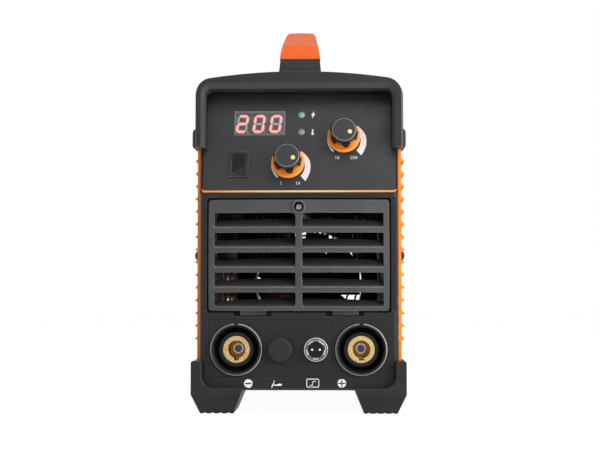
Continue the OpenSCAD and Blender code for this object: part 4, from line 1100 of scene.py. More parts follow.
class Look(Enum):
    """Finishes shared by several nodes."""

    COVER = PowderCoat("orange_powder_coat", "#f08a1e", "#e87e14", "#ffc070")
    PAN = PowderCoat("black_powder_coat", "#2e2e2f", "#262627", "#6a6a6c", roughness=0.45)
    CHARCOAL = MouldedPlastic("charcoal_abs", "#1e1e1f", "#242425", "#68686a")
    HOOD = MouldedPlastic("hood_abs", "#1f1f20", "#252526", "#7c7c7e", lit_facet="#3b3b3d")
    # Painted light: a paler copy of the charcoal moulding, standing in for more light on the handle's base.
    HANDLE = MouldedPlastic("handle_abs", "#29292a", "#303031", "#78787a")
    BLACK = MouldedPlastic("black_abs", "#19191a", "#1e1e1f", "#58585a", roughness=0.5)
    GRILLE = MouldedPlastic("grille_abs", "#3f3f40", "#454546", "#96969a", 0.48, edge_radius=0.7)
    FASCIA = MouldedPlastic("fascia_film", "#18181a", "#1d1d1f", "#5a5a5c", 0.42, 0.25, 0.008, specular=0.36)
    GRIP = MouldedPlastic("orange_soft_grip", "#e05d1e", "#e66725", "#f88848", 0.42, 0.5, 0.012)
    SHELL = GlossPlastic("black_socket_nylon", "#0b0b0c", "#161618", "#8c8c90", 0.2)
    SWITCH = GlossPlastic("black_switch_nylon", "#09090a", "#131315", "#6c6c70", 0.16, 0.5)
    FRAME = MouldedPlastic("switch_frame_nylon", "#1c1c1e", "#232325", "#a8a8ab", 0.4, edge_radius=0.45)
    RED_ROCKER = GlossPlastic("red_rocker", "#b0201a", "#c23a30", "#e46a5c", 0.22)
    SOOT = MouldedPlastic("fan_nylon", "#111112", "#18181a", "#2e2e2f")
    PIN = Metal("silvered_pin", "#e8eaee", "#b4b7bb", 0.3)
    STEEL = Metal("zinc_plated_steel", "#9da0a4", "#6f7276", 0.34)
    BRIGHT_SCREW = Metal("bright_zinc_screw", "#b4b6b9", "#85888c", 0.3)
    SCREW = Metal("black_oxide_screw", "#2c2c2e", "#1c1c1d", 0.4, edge="#77777a")
    ALUMINIUM = Metal("black_anodised_aluminium", "#1d1e20", "#141416", 0.42, edge="#3a3c40")
    COPPER = Metal("copper_bar", "#8a5232", "#5e3420", 0.36, edge="#c88a66")
    TURNED_BRASS = Metal("turned_brass", "#c89b4a", "#8f6a2c", 0.3, edge="#ecd090")
    BOARD = Laminate()
    # Winding and potting colours darkened as painted shade inside the case.
    WIRE = Winding("copper_winding", "#7a4c2a", "#2c1810")
    STARTER = MouldedPlastic("red_potting", "#48201a", "#54271f", "#6e3a2e")
    SLEEVE = MouldedPlastic("capacitor_sleeve", "#20345c", "#28406e", "#486494", roughness=0.35)
    HOSE = MouldedPlastic("black_hose_rubber", "#1d1e20", "#26272a", "#3c3d40", roughness=0.6)
    WHITE_INK = Ink("white_ink", "#eeeef0", "#d0d0d2")
    SCALE_INK = Ink("scale_ink", "#d6d6d8", "#b4b4b6")
    GREY_INK = Ink("grey_ink", "#d8d8da", "#a8a8aa")
    DARK_INK = Ink("dark_ink", "#19191a", "#242425")
    DOT = Ink("yellow_dot_paint", "#f4dd8c", "#e0b855")
    DIM = Ink("unlit_segment", "#8f9796", "#767d7c")
    LIT = Glow("lit_segment", "#ff9c98", "#fa7e7c", 0.8, 2.2)
    LIT_CORE = Glow("lit_segment_core", "#ffd2c8", "#ffb6ac", 0.9, 1.6)
    HALO = Ink("segment_halo", "#8a4a50", "#6e4f54")


NODE_LOOKS: dict[Look, tuple[str, ...]] = {
    Look.COVER: ("wrap_cover",),
    Look.HOOD: ("front_hood", "rear_hood"),
    Look.HANDLE: ("handle_frame",),
    Look.CHARCOAL: (
        "front_foot_left", "front_foot_right", "rear_foot_left", "rear_foot_right", "gas_outlet_cap",
    ),
    Look.BLACK: ("front_bezel", "rear_panel", "connector_plate", "cable_gland"),
    Look.FASCIA: ("control_fascia",),
    Look.GRIP: ("handle_grip",),
    Look.SHELL: ("torch_socket_insert",),
    Look.SWITCH: ("mode_rocker",),
    Look.FRAME: ("mode_switch_frame", "mains_switch_frame"),
    Look.RED_ROCKER: ("mains_rocker",),
    Look.SOOT: ("fan_frame", "fan_rotor", "display_module"),
    Look.PIN: ("torch_socket_pins",),
    Look.BRIGHT_SCREW: ("grille_screw",),
    Look.PAN: ("base_pan",),
    Look.STEEL: (
        "mount_bolts", "current_control", "current_shaft", "gas_control", "gas_shaft", "tunnel_frame",
    ),
    Look.SCREW: ("case_screws",),
    Look.ALUMINIUM: ("heat_sinks",),
    Look.COPPER: ("output_leads",),
    Look.TURNED_BRASS: ("gas_outlet", "gas_inlet", "gas_valve"),
    Look.BOARD: ("control_board", "power_board"),
    Look.WIRE: ("main_transformer", "output_choke"),
    Look.STARTER: ("arc_starter",),
    Look.SLEEVE: ("power_capacitors",),
    Look.HOSE: ("gas_hose",),
}


class Wardrobe:
    """Builds each finish once and puts it on nodes and pieces."""

    def __init__(self, nodes: dict[str, bpy.types.Object]) -> None:
        """Starts with no finish built.

        Args:
            nodes: CAD nodes by name.
        """
        self.nodes = nodes
        self.built: dict[Look, bpy.types.Material] = {}

    def get(self, look: Look) -> bpy.types.Material:
        """Builds a shared finish when it is first asked for.

        Args:
            look: Which finish.

        Returns:
            Its material.
        """
        if look not in self.built:
            self.built[look] = look.value.build()
        return self.built[look]

    def wear(self, obj: bpy.types.Object, material: bpy.types.Material) -> None:
        """Puts one material on every face of an object."""
        obj.data.materials.clear()
        obj.data.materials.append(material)

    def dress(self, obj: bpy.types.Object, look: Look) -> None:
        """Puts a shared finish on an object."""
        self.wear(obj, self.get(look))

    def fit(self, obj: bpy.types.Object, finish: Finish) -> None:
        """Builds a finish of an object's own and puts it on."""
        self.wear(obj, finish.build())

    def dress_nodes(self) -> None:
        """Puts the shared finishes on the CAD nodes."""
        for look, names in NODE_LOOKS.items():
            for name in names:
                self.dress(self.nodes[name], look)


# ------------------------------------------------------------------ marks on the control panel


def centre_of(node: str) -> Vector:
    """Middle of a CAD node's box, in metres."""
    low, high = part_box(node)
    return (Vector(low) + Vector(high)) / 2


def half_of(node: str) -> Vector:
    """Half sizes of a CAD node's box, in millimetres."""
    low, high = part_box(node)
    return (Vector(high) - Vector(low)) / (2 * MM)


@dataclass(frozen=True)
class DialScaleSizes:
    """Sizes of the growing scale round a dial, by angle in degrees.

    Attributes:
        angles: Where the radii are given.
        inner: Inner radii.
        outer: Outer radii.
        digit_height: Height of the numbers.
        digit_drop: Distance of the numbers below the dial's centre.
        digit_at: Distance of the low and of the high number to the right of the dial's centre.
    """

    angles: tuple[float, ...] = (-48, -23, 3, 20, 44, 90, 150, 181, 215, 236)
    inner: tuple[float, ...] = (14.9, 14.2, 12.9, 12.5, 12.2, 11.8, 12.0, 12.4, 13.2, 13.8)
    outer: tuple[float, ...] = (20.4, 18.9, 17.4, 15.7, 13.5, 12.0, 12.3, 13.0, 14.3, 15.1)
    digit_height: float = 2.5
    digit_drop: float = 17.0
    digit_at: tuple[float, float] = (-5.4, 7.8)


class Numerals:
    """Plain numerals drawn as strokes."""

    ADVANCE = 0.78
    STROKE = 0.14

    @classmethod
    def glyph(cls, digit: str) -> Shape:
        """One numeral, one unit high, its middle at the origin.

        Args:
            digit: 0, 1 or 2.

        Returns:
            The figure.
        """
        w = cls.STROKE
        if digit == "1":
            return Shape().stroke(np.array([[-0.16, 0.3], [0.02, 0.44]]), w).stroke(
                np.array([[0.05, 0.5], [0.05, 0.0], [0.05, -0.5]]), w)
        if digit == "0":
            a = np.radians(np.linspace(0, 360, 28, endpoint=False))
            ring = np.column_stack([0.22 * np.cos(a), 0.4 * np.sin(a)])
            return Shape().stroke(ring, w, closed=True)
        top = arc((0, 0.2), 0.21, 165, -30, 12)
        tail = np.array([[-0.02, -0.14], [-0.23, -0.4], [0.27, -0.4]])
        return Shape().stroke(np.vstack([top, tail[:2]]), w).stroke(tail[1:], w)

    @classmethod
    def number(cls, text: str, height: float) -> Shape:
        """A number centred on the origin.

        Args:
            text: Its numerals.
            height: Height of a numeral.

        Returns:
            The figure.
        """
        start = -(len(text) - 1) / 2
        step = cls.ADVANCE * height
        parts = [cls.glyph(c).moved(((start + i) * step, 0), height) for i, c in enumerate(text)]
        return parts[0].joined(*parts[1:])


class ControlMarks:
    """Scales, numbers and pictograms printed on the control panel."""

    def __init__(self, wardrobe: Wardrobe, joints: dict[str, dict]) -> None:
        """Keeps what the marks need.

        Args:
            wardrobe: Finishes.
            joints: CAD joints by name.
        """
        self.wardrobe = wardrobe
        self.joints = joints
        self.sizes = DialScaleSizes()

    def plane_at(self, joint: str) -> Plane:
        """Plane of the face plate with its origin on a dial's axis.

        Args:
            joint: Name of the dial's joint.

        Returns:
            The plane.
        """
        data = self.joints[joint]
        out = Vector(data["axis"]).normalized()
        right = Vector((1, 0, 0))
        return Plane(Vector(data["pos_m"]), right, out.cross(right), out)

    def scale(self) -> Shape:
        """Band that grows from a hairline to a wide, square end, going clockwise.

        Returns:
            The figure, about the dial's axis.
        """
        s = self.sizes
        a = np.linspace(s.angles[0], s.angles[-1], 90)
        spin = np.column_stack([np.cos(np.radians(a)), np.sin(np.radians(a))])
        outer = spin * np.interp(a, s.angles, s.outer)[:, None]
        inner = spin * np.interp(a, s.angles, s.inner)[:, None]
        return Shape().band(inner, outer)

    def build(self) -> None:
        """Makes every mark on the control panel."""
        for joint, low, high, name in (
            ("current_knob_turn", "10", "200", "current"), ("gas_knob_turn", "1", "10", "gas"),
        ):
            plane = self.plane_at(joint)
            self.wardrobe.dress(plane.place(f"{name}_scale", self.scale(), "case"), Look.SCALE_INK)
            s = self.sizes
            first = Numerals.number(low, s.digit_height).moved((s.digit_at[0], -s.digit_drop))
            last = Numerals.number(high, s.digit_height).moved((s.digit_at[1], -s.digit_drop))
            numbers = first.joined(last)
            self.wardrobe.dress(plane.place(f"{name}_numbers", numbers, "case"), Look.GREY_INK)
        plane = self.plane_at("current_knob_turn")
        bolt = np.array([[0.9, 2.5], [-1.5, -0.3], [-0.2, -0.3], [-0.8, -2.6], [1.6, 0.5], [0.3, 0.5]])
        flash = Shape().fill(bolt).moved((-24.4, 18.4), 1.2)
        self.wardrobe.dress(plane.place("power_pictogram", flash, "case"), Look.WHITE_INK)
        tube = np.vstack([arc((0, 2.1), 0.65, 0, 180, 8), arc((0, -1.6), 1.3, 120, 420, 20)])
        bulb = Shape().fill(tube).moved((-24.7, 4.2), 0.9)
        self.wardrobe.dress(plane.place("heat_pictogram", bulb, "case"), Look.WHITE_INK)


@dataclass(frozen=True)
class ReadoutSizes:
    """Sizes of the three-digit readout.

    Attributes:
        height: Height of a digit.
        width: Width of a digit over its segments.
        pitch: Distance from digit to digit.
        stroke: Width of a lit segment.
        unlit: Width of an unlit segment.
        core: Width of a lit segment's bright middle.
        halo: Width of the glow round a lit segment.
        gap: Gap at the tip of a segment.
        slant: Lean of the digits in degrees.
        drop: Distance of the digits below the window's middle.
        shift: Distance of the digits to the right of the window's middle.
        point: Radius of the decimal point.
        point_rise: Height of its middle above the foot of the digit.
    """

    height: float = 15.4
    width: float = 9.7
    pitch: float = 13.3
    stroke: float = 2.6
    unlit: float = 1.8
    core: float = 1.3
    halo: float = 3.4
    gap: float = 0.06
    slant: float = 8.0
    drop: float = 0.6
    shift: float = -0.6
    point: float = 0.6
    point_rise: float = 0.7


class Readout:
    """Seven-segment digits behind the smoked window."""

    SEGMENTS = {"0": "abcdef", "1": "bc", "2": "abged"}

    def __init__(self, wardrobe: Wardrobe, plane: Plane) -> None:
        """Keeps what the digits need.

        Args:
            wardrobe: Finishes.
            plane: Front of the window, its origin in the middle.
        """
        self.wardrobe = wardrobe
        self.plane = plane
        self.sizes = ReadoutSizes()

    def segment(self, key: str, width: float) -> Outline:
        """Hexagonal outline of one segment, the digit's middle at the origin.

        Args:
            key: Letter of the segment, a to g.
            width: Width of its stroke.

        Returns:
            The outline.
        """
        s = self.sizes
        x, y = s.width / 2 - s.stroke / 2, s.height / 2 - s.stroke / 2
        ends = {
            "a": ((-x, y), (x, y)), "g": ((-x, 0), (x, 0)), "d": ((-x, -y), (x, -y)),
            "f": ((-x, 0), (-x, y)), "b": ((x, 0), (x, y)), "e": ((-x, -y), (-x, 0)), "c": ((x, -y), (x, 0)),
        }[key]
        a, b = np.array(ends[0]), np.array(ends[1])
        along = (b - a) / np.linalg.norm(b - a)
        side = np.array([-along[1], along[0]]) * width / 2
        a, b = a + along * s.gap, b - along * s.gap
        cut = along * width / 2
        return np.array([a, a + cut - side, b - cut - side, b, b - cut + side, a + cut + side])

    def leaning(self, outline: Outline, at: tuple[float, float]) -> Shape:
        """Filled outline, slanted as the digits are and moved to its place."""
        return Shape().fill(outline).slanted(self.sizes.slant).moved(at)

    def build(self, text: str) -> None:
        """Makes the lit and unlit segments.

        Args:
            text: Number that is shown.
        """
        s = self.sizes
        lit, core, dim, halo = Shape(), Shape(), Shape(), Shape()
        for i, digit in enumerate(text):
            at = ((i - (len(text) - 1) / 2) * s.pitch + s.shift, -s.drop)
            for key in "abcdefg":
                on = key in self.SEGMENTS[digit]
                if on:
                    lit = lit.joined(self.leaning(self.segment(key, s.stroke), at))
                    halo = halo.joined(self.leaning(self.segment(key, s.halo), at))
                    core = core.joined(self.leaning(self.segment(key, s.core), at))
                else:
                    dim = dim.joined(self.leaning(self.segment(key, s.unlit), at))
            point = arc((s.width / 2 + s.point, -s.height / 2 + s.point_rise), s.point, 0, 345, 12)
            dim = dim.joined(self.leaning(point, at))
        self.wardrobe.dress(self.plane.place("readout_halo", halo, "case", 0.01, 0.01), Look.HALO)
        self.wardrobe.dress(self.plane.place("readout_unlit", dim, "case", 0.03, 0.01), Look.DIM)
        self.wardrobe.dress(self.plane.place("readout_lit", lit, "case", 0.04, 0.02), Look.LIT)
        self.wardrobe.dress(self.plane.place("readout_core", core, "case", 0.07, 0.01), Look.LIT_CORE)


@dataclass(frozen=True)
class DialFinishes:
    """Finishes of the dials, with sizes in millimetres.

    Attributes:
        cap_end: Height of the cap's end.
        cap_edge: Radius of the cap's flat end.
        cap_radius: Radius of the cap.
        rim_height: Height of the skirt's flat rim.
        reach: A radius beyond the whole dial.
    """

    cap_end: float = 20.5
    cap_edge: float = 9.0
    cap_radius: float = 10.1
    rim_height: float = 3.4
    reach: float = 30.0

    def knob(self, name: str, plane: Plane) -> TurnedFinish:
        """Ribbed grip painted near black, partly as painted shade under a dark grey cap, and two pale rim
        lines painted as highlights on the cap's edges.

        Args:
            name: Material name.
            plane: Face plate at the dial's axis.

        Returns:
            The finish.
        """
        top = self.cap_end + 1
        shoulder = self.cap_end - self.cap_radius + self.cap_edge
        # The cap's face, then two painted highlights on its edges; the grip below stays near black, partly
        # painted shade.
        bands = (
            Band("#2b2b2c", (-1, self.cap_edge + 0.1), (self.cap_end - 0.4, top)),
            Band("#96969a", (self.cap_edge - 0.15, self.cap_edge + 0.2), (self.cap_end - 0.5, top)),
            Band("#5e5e60", (self.cap_radius - 0.25, self.reach), (shoulder - 0.35, shoulder + 0.35)),
        )
        return TurnedFinish(name, plane, "#0b0b0c", "#111112", bands, edge="#3c3c3e")

    def skirt(self, name: str, plane: Plane) -> TurnedFinish:
        """Orange rim whose lobes are painted a slightly deeper orange as painted shade.

        Args:
            name: Material name.
            plane: Face plate at the dial's axis.

        Returns:
            The finish.
        """
        # Painted shade: the lobes above the rim are a deeper orange.
        lobes = Band("#ee7f2a", (-1, self.reach), (self.rim_height, self.cap_end))
        return TurnedFinish(
            name, plane, "#fb9838", "#f48d2c", (lobes,), roughness=(0.34, 0.4), edge="#ffc07a"
        )


@dataclass(frozen=True)
class SocketFinishes:
    """Finishes of the front sockets, with sizes in millimetres.

    Attributes:
        rim_radius: Radius of a shell's rim.
        rim_height: Height of the rim in front of the face.
        plug_radius: Radius of the bore in a contact.
        recess_radius: Radius of a contact screw's recess, painted dark as painted shade.
        lip_radius: Radius of the torch socket's barrel.
        flange_radius: Radius of its knurled flange.
        lip_height: Height of the barrel in front of the face.
    """

    rim_radius: float = 20.2
    rim_height: float = 3.4
    plug_radius: float = 6.5
    recess_radius: float = 3.0
    lip_radius: float = 7.6
    flange_radius: float = 9.2
    lip_height: float = 7.0

    def shell(self, name: str, plane: Plane) -> TurnedFinish:
        """Glossy black nylon whose rim carries painted highlights: pale and grey lines for the light on its
        rounded edges.

        Args:
            name: Material name.
            plane: Front face at the socket's axis.

        Returns:
            The finish.
        """
        r = self.rim_radius
        # Painted highlights: a pale line on the rim's edge and two fainter grey lines inside it.
        bands = (
            Band("#a4a4a8", (r - 0.7, r + 0.4), (self.rim_height - 1.2, self.rim_height + 1)),
            Band("#4a4a4d", (r - 1.5, r - 1.25), (self.rim_height - 0.8, self.rim_height + 1)),
            Band("#3a3a3d", (r - 2.7, r - 2.5), (self.rim_height - 3.0, self.rim_height + 1)),
        )
        return TurnedFinish(name, plane, "#09090a", "#101011", bands, edge="#232325", roughness=(0.16, 0.24))

    def contact(self, name: str, plane: Plane) -> TurnedFinish:
        """Pale, pitted brass round a darker polished bore.

        Args:
            name: Material name.
            plane: Front face at the socket's axis.

        Returns:
            The finish.
        """
        bore = Band("#b07a30", (-1, self.plug_radius + 0.5))
        return TurnedFinish(name, plane, "#94763f", "#dcc491", (bore,), 0.8, (0.5, 0.3), 0.5, 0.04, "#f0deb0")

    def screw(self, plane: Plane) -> TurnedFinish:
        """Bright screw whose recess is painted dark as painted shade.

        Args:
            plane: Front face at a socket's axis.

        Returns:
            The finish.
        """
        # Painted shade in the screw's recess.
        recess = Band("#3c3a3c", (-1, self.recess_radius))
        return TurnedFinish("clamp_screw_steel", plane, "#c4c5c8", "#9c9da0", (recess,), 1.0, (0.24, 0.34),
                            edge="#f0f1f3", mirrored=True)

    def torch(self, plane: Plane) -> TurnedFinish:
        """Chromed barrel with a knurled flange, with painted reflections and a painted highlight on the
        chrome.

        Args:
            plane: Front face at the socket's axis.

        Returns:
            The finish.
        """
        # Painted reflections and highlight: a dark band over the flange, notched light and dark for its
        # knurl, a bright ring at its edge and dark arcs inside the barrel.
        bands = (
            Band("#26272a", (self.lip_radius + 0.1, self.flange_radius + 1)),
            Band("#7c7e82", (self.lip_radius + 0.3, self.flange_radius - 0.5), notches=22),
            Band("#e2e3e6", (self.flange_radius - 0.45, self.flange_radius + 1)),
            Band("#4a4c50", (0, self.lip_radius), notches=5),
        )
        return TurnedFinish(
            "knurled_chrome", plane, "#c2c4c8", "#a2a5aa", bands, 1.0, (0.16, 0.22), edge="#f2f3f5"
        )


class Fittings:
    """Dials and sockets, whose finishes follow their own axes."""

    def __init__(self, wardrobe: Wardrobe, marks: ControlMarks) -> None:
        """Keeps what the fittings need.

        Args:
            wardrobe: Finishes.
            marks: Marks, which know the dials' planes.
        """
        self.wardrobe = wardrobe
        self.marks = marks

    def front_plane(self, node: str, height: float) -> Plane:
        """Plane of the front face on a socket's axis.

        Args:
            node: Node whose foremost place is known.
            height: Height of that place in front of the face.

        Returns:
            The plane.
        """
        middle = centre_of(node)
        low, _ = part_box(node)
        origin = Vector((middle.x, low[1] + height * MM, middle.z))
        return Plane(origin, Vector((1, 0, 0)), Vector((0, 0, 1)), Vector((0, -1, 0)))

    def build(self) -> None:
        """Dresses the dials and the sockets."""
        dials, sockets = DialFinishes(), SocketFinishes()
        nodes = self.wardrobe.nodes
        for name, joint in (("current", "current_knob_turn"), ("gas", "gas_knob_turn")):
            plane = self.marks.plane_at(joint)
            self.wardrobe.fit(nodes[f"{name}_knob"], dials.knob(f"{name}_dial_abs", plane))
            self.wardrobe.fit(nodes[f"{name}_skirt"], dials.skirt(f"{name}_skirt_abs", plane))
        for side in ("negative", "positive"):
            plane = self.front_plane(f"{side}_shell", sockets.rim_height)
            shell = sockets.shell(f"{side}_shell_nylon", plane)
            contact = sockets.contact(f"{side}_pitted_brass", plane)
            self.wardrobe.fit(nodes[f"{side}_shell"], shell)
            self.wardrobe.fit(nodes[f"{side}_contact"], contact)
        self.wardrobe.fit(nodes["contact_bolts"], sockets.screw(plane))
        barrel = self.front_plane("torch_socket_shell", sockets.lip_height)
        self.wardrobe.fit(nodes["torch_socket_shell"], sockets.torch(barrel))


@dataclass(frozen=True)
class GrilleBow:
    """Bow of the grille's face.

    Attributes:
        radius: Radius of the bow in millimetres.
        near: Depth at which the painted shade on the blades starts, in millimetres.
        far: Depth at which the painted shade is full, in millimetres.
    """

    radius: float = 700.0
    near: float = 0.3
    far: float = 5.0

    def dress(self, wardrobe: Wardrobe) -> None:
        """Dresses the grille, its blades painted darker behind the bowed face as painted shade.

        Args:
            wardrobe: Finishes.
        """
        low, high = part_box("vent_grille")
        centre = (0.5 * (low[0] + high[0]), low[1] + self.radius * MM, 0.5 * (low[2] + high[2]))
        hollow = Hollow(centre, self.radius, self.near, self.far, "#262627")
        wardrobe.fit(wardrobe.nodes["vent_grille"], replace(Look.GRILLE.value, hollow=hollow))


@dataclass(frozen=True)
class DotSizes:
    """Sizes of a dial's pointer dot.

    Attributes:
        cap_edge: Radius of the flat end of the dial's cap.
        radius: Radius of the dot.
        rise: Height of its middle above the cap.
        at: Place of the dot from the dial's axis.
    """

    cap_edge: float = 9.0
    radius: float = 1.65
    rise: float = 0.18
    at: tuple[float, float] = (4.6, -1.7)


class DialDots:
    """Painted pointer dots on the dial caps."""

    def __init__(self, wardrobe: Wardrobe, marks: ControlMarks) -> None:
        """Keeps what the dots need.

        Args:
            wardrobe: Finishes.
            marks: Marks, which know the dials' planes.
        """
        self.wardrobe = wardrobe
        self.marks = marks
        self.sizes = DotSizes()

    def cap_height(self, plane: Plane, node: str) -> float:
        """Height of a dial's end above the face plate.

        The edge of the leaning end is the foremost place of the dial's box: reach = height * cos + edge * sin
        of the lean.

        Args:
            plane: Face plate at the dial's axis.
            node: Node of the dial's knob.

        Returns:
            The height in millimetres.
        """
        low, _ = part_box(node)
        reach = (plane.origin.y - low[1]) / MM
        return (reach - self.sizes.cap_edge * plane.out.z) / -plane.out.y

    def dome(self, plane: Plane, height: float, name: str, body: str) -> bpy.types.Object:
        """Low dome: at radius t * r its height is rise * (1 - t^2).

        Args:
            plane: Face plate at the dial's axis.
            height: Height of the cap's end in millimetres.
            name: Piece name.
            body: CAD body that the piece rides on.

        Returns:
            The piece.
        """
        s = self.sizes
        t, a = np.meshgrid(np.linspace(0.08, 1, 7), np.radians(np.arange(0, 360, 12)), indexing="ij")
        x = s.at[0] + s.radius * t * np.cos(a)
        y = s.at[1] + s.radius * t * np.sin(a)
        z = height + s.rise * (1 - t**2) + 0.02
        flat = np.column_stack([x.ravel(), y.ravel(), z.ravel()])
        basis = np.array([plane.right, plane.up, plane.out])
        points = flat @ basis * MM + np.array(plane.origin)
        rows, cols = t.shape
        i, j = np.meshgrid(np.arange(rows - 1), np.arange(cols), indexing="ij")
        k = (j + 1) % cols
        near, far = i * cols, (i + 1) * cols
        quads = np.stack([near + j, far + j, far + k, near + k], -1).reshape(-1, 4)
        faces = quads.tolist() + [list(range(cols))]
        piece = make_mesh(name, points, faces, smooth=True)
        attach(piece, body)
        LOG.info("piece %s on %s", name, body)
        return piece

    def build(self) -> None:
        """Puts one dot on each dial."""
        for joint, node, body in (
            ("current_knob_turn", "current_knob", "current_dial"), ("gas_knob_turn", "gas_knob", "gas_dial"),
        ):
            plane = self.marks.plane_at(joint)
            height = self.cap_height(plane, node)
            LOG.info("dial %s: end %.2f mm above the face plate", node, height)
            self.wardrobe.dress(self.dome(plane, height, f"{node}_dot", body), Look.DOT)


@dataclass(frozen=True)
class ConnectorSizes:
    """Sizes of the pictograms under the sockets, with places from the machine's middle and the ground.

    Attributes:
        disc: Radius of the polarity discs.
        minus_at: Place of the minus disc.
        plus_at: Place of the plus disc.
        minus: Width and height of the minus bar.
        plus: Width and height of the plus bars.
        over: Height of the bars' underside above the face.
        torch_at: Place of the torch.
        socket_at: Place of the socket's frame.
        frame: Width, height and corner radius of the socket's frame.
        frame_line: Width of its line.
        lever_line: Width of the line inside it.
    """

    disc: float = 3.3
    minus_at: tuple[float, float] = (-39.3, 22.9)
    plus_at: tuple[float, float] = (33.5, 23.2)
    minus: tuple[float, float] = (4.9, 1.2)
    plus: tuple[float, float] = (5.8, 0.95)
    over: float = 0.09
    torch_at: tuple[float, float] = (-17.3, 22.6)
    socket_at: tuple[float, float] = (10.9, 23.3)
    frame: tuple[float, float, float] = (9.4, 6.2, 1.0)
    frame_line: float = 0.55
    lever_line: float = 0.45


class ConnectorMarks:
    """Polarity and torch pictograms under the sockets."""

    def __init__(self, wardrobe: Wardrobe) -> None:
        """Finds the lower front.

        Args:
            wardrobe: Finishes.
        """
        self.wardrobe = wardrobe
        low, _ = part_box("connector_plate")
        self.plane = Plane(Vector((0, low[1], 0)), Vector((1, 0, 0)), Vector((0, 0, 1)), Vector((0, -1, 0)))
        self.sizes = ConnectorSizes()

    def put(self, name: str, shape: Shape, look: Look, lift: float = 0.03) -> None:
        """Prints one figure on the lower front.

        Args:
            name: Piece name.
            shape: Figure in millimetres.
            look: Its ink.
            lift: Height of its underside above the face, in millimetres.
        """
        self.wardrobe.dress(self.plane.place(name, shape, "case", lift), look)

    def build(self) -> None:
        """Makes the four pictograms."""
        s = self.sizes
        disc = Shape().fill(arc((0, 0), s.disc, 0, 350, 36))
        self.put("minus_disc", disc.moved(s.minus_at), Look.WHITE_INK)
        self.put("plus_disc", disc.moved(s.plus_at), Look.WHITE_INK)
        bar = Shape().fill(rounded_box(*s.minus, 0.3))
        self.put("minus_bar", bar.moved(s.minus_at), Look.DARK_INK, s.over)
        across = Shape().fill(rounded_box(*s.plus, 0.1))
        upright = Shape().fill(rounded_box(*s.plus[::-1], 0.1))
        self.put("plus_bars", across.joined(upright).moved(s.plus_at), Look.DARK_INK, s.over)
        handle = np.array([[-1.6, -0.6], [0.4, -0.5], [2.2, 0.4], [4.0, 0.0], [4.3, -0.9], [3.6, -1.4],
                           [-1.8, -1.5]])
        nozzle = np.array([[-1.9, 2.6], [-1.5, 2.4], [-2.1, 0.6], [-1.5, -0.3], [-2.6, -1.2], [-3.6, -3.0],
                           [-4.1, -2.8], [-3.4, -0.6], [-2.7, 0.3]])
        self.put("torch_pictogram", Shape().fill(handle).fill(nozzle).moved(s.torch_at), Look.WHITE_INK)
        frame_line = Shape().stroke(rounded_box(*s.frame), s.frame_line, closed=True)
        body = np.array([[-2.4, -1.7], [0.4, -1.6], [-0.3, -0.7], [0.2, 0.1],
                         [-0.4, 0.8], [0.4, 1.4], [2.3, 1.5], [2.3, 1.0]])
        lever = Shape().stroke(body[:5], s.lever_line).stroke(body[4:8], s.lever_line)
        self.put("socket_pictogram", frame_line.joined(lever).moved(s.socket_at), Look.WHITE_INK)


@dataclass(frozen=True)
class RockerMarks:
    """Line and ring on the mains rocker, for on and off.

    Attributes:
        dip: Height of the middle of the rocker's hollow face above its pin.
        hollow: Radius of the hollow face.
        rest: Tilt of the marks' plane from upright, in degrees. The rocker's face at rest is about 8 degrees
            off it, so the ring stands clear of the face and the line lies inside the rocker.
        line: Lowest and highest place of the line, from the rocker's middle.
        ring: Radius of the ring.
        drop: Distance of the ring below the rocker's middle.
        stroke: Width of both marks.
    """

    dip: float = 3.8
    hollow: float = 44.1
    rest: float = -9.0
    line: tuple[float, float] = (4.2, 9.2)
    ring: float = 2.4
    drop: float = 6.8
    stroke: float = 0.8

    def build(self, wardrobe: Wardrobe, joint: dict) -> None:
        """Prints both marks on the rocker.

        Args:
            wardrobe: Finishes.
            joint: Joint of the rocker.
        """
        out, up = Vector((0, 1, 0)), Vector((0, 0, 1))
        plane = Plane(Vector(joint["pos_m"]), up.cross(out), up, out).tilted(self.rest).raised(self.dip)
        heights = np.linspace(*self.line, 7)
        marks = Shape().stroke(np.column_stack([np.zeros(7), heights]), self.stroke)
        marks.stroke(arc((0, -self.drop), self.ring, 0, 352, 45), self.stroke, closed=True)
        piece = plane.place("rocker_marks", marks, joint["child"], dish=self.hollow)
        wardrobe.dress(piece, Look.WHITE_INK)


# ------------------------------------------------------------------ studio


@dataclass(frozen=True)
class SoftBox:
    """Rectangular studio light.

    Attributes:
        name: Light name.
        at: Place in metres.
        aim: Point it faces, in metres.
        size: Width and height in metres.
        power: Power in watts.
        tint: Colour.
    """

    name: str
    at: tuple[float, float, float]
    aim: tuple[float, float, float]
    size: tuple[float, float]
    power: float
    tint: str = "#ffffff"

    def build(self) -> None:
        """Adds the light to the scene."""
        data = bpy.data.lights.new(self.name, "AREA")
        data.shape = "RECTANGLE"
        data.size, data.size_y = self.size
        data.energy = self.power
        data.color = srgb(self.tint)[:3]
        lamp = bpy.data.objects.new(self.name, data)
        lamp.location = self.at
        lamp.rotation_euler = (Vector(self.aim) - Vector(self.at)).to_track_quat("-Z", "Y").to_euler()
        bpy.context.scene.collection.objects.link(lamp)


@dataclass(frozen=True)
class View:
    """Camera of the main picture.

    Attributes:
        at: Place in metres.
        aim: Point in the middle of the picture, in metres.
        lens: Focal length in millimetres on a 36 mm sensor.
    """

    at: tuple[float, float, float] = (0.030, -1.2, 0.093)
    aim: tuple[float, float, float] = (0.0012, -0.200, 0.146)
    lens: float = 77.4

    def build(self) -> None:
        """Adds the camera and makes it the scene's own."""
        data = bpy.data.cameras.new("main_view")
        data.sensor_width = 36.0
        data.lens = self.lens
        camera = bpy.data.objects.new("main_view", data)
        camera.location = self.at
        camera.rotation_euler = (Vector(self.aim) - Vector(self.at)).to_track_quat("-Z", "Y").to_euler()
        bpy.context.scene.collection.objects.link(camera)
        bpy.context.scene.camera = camera


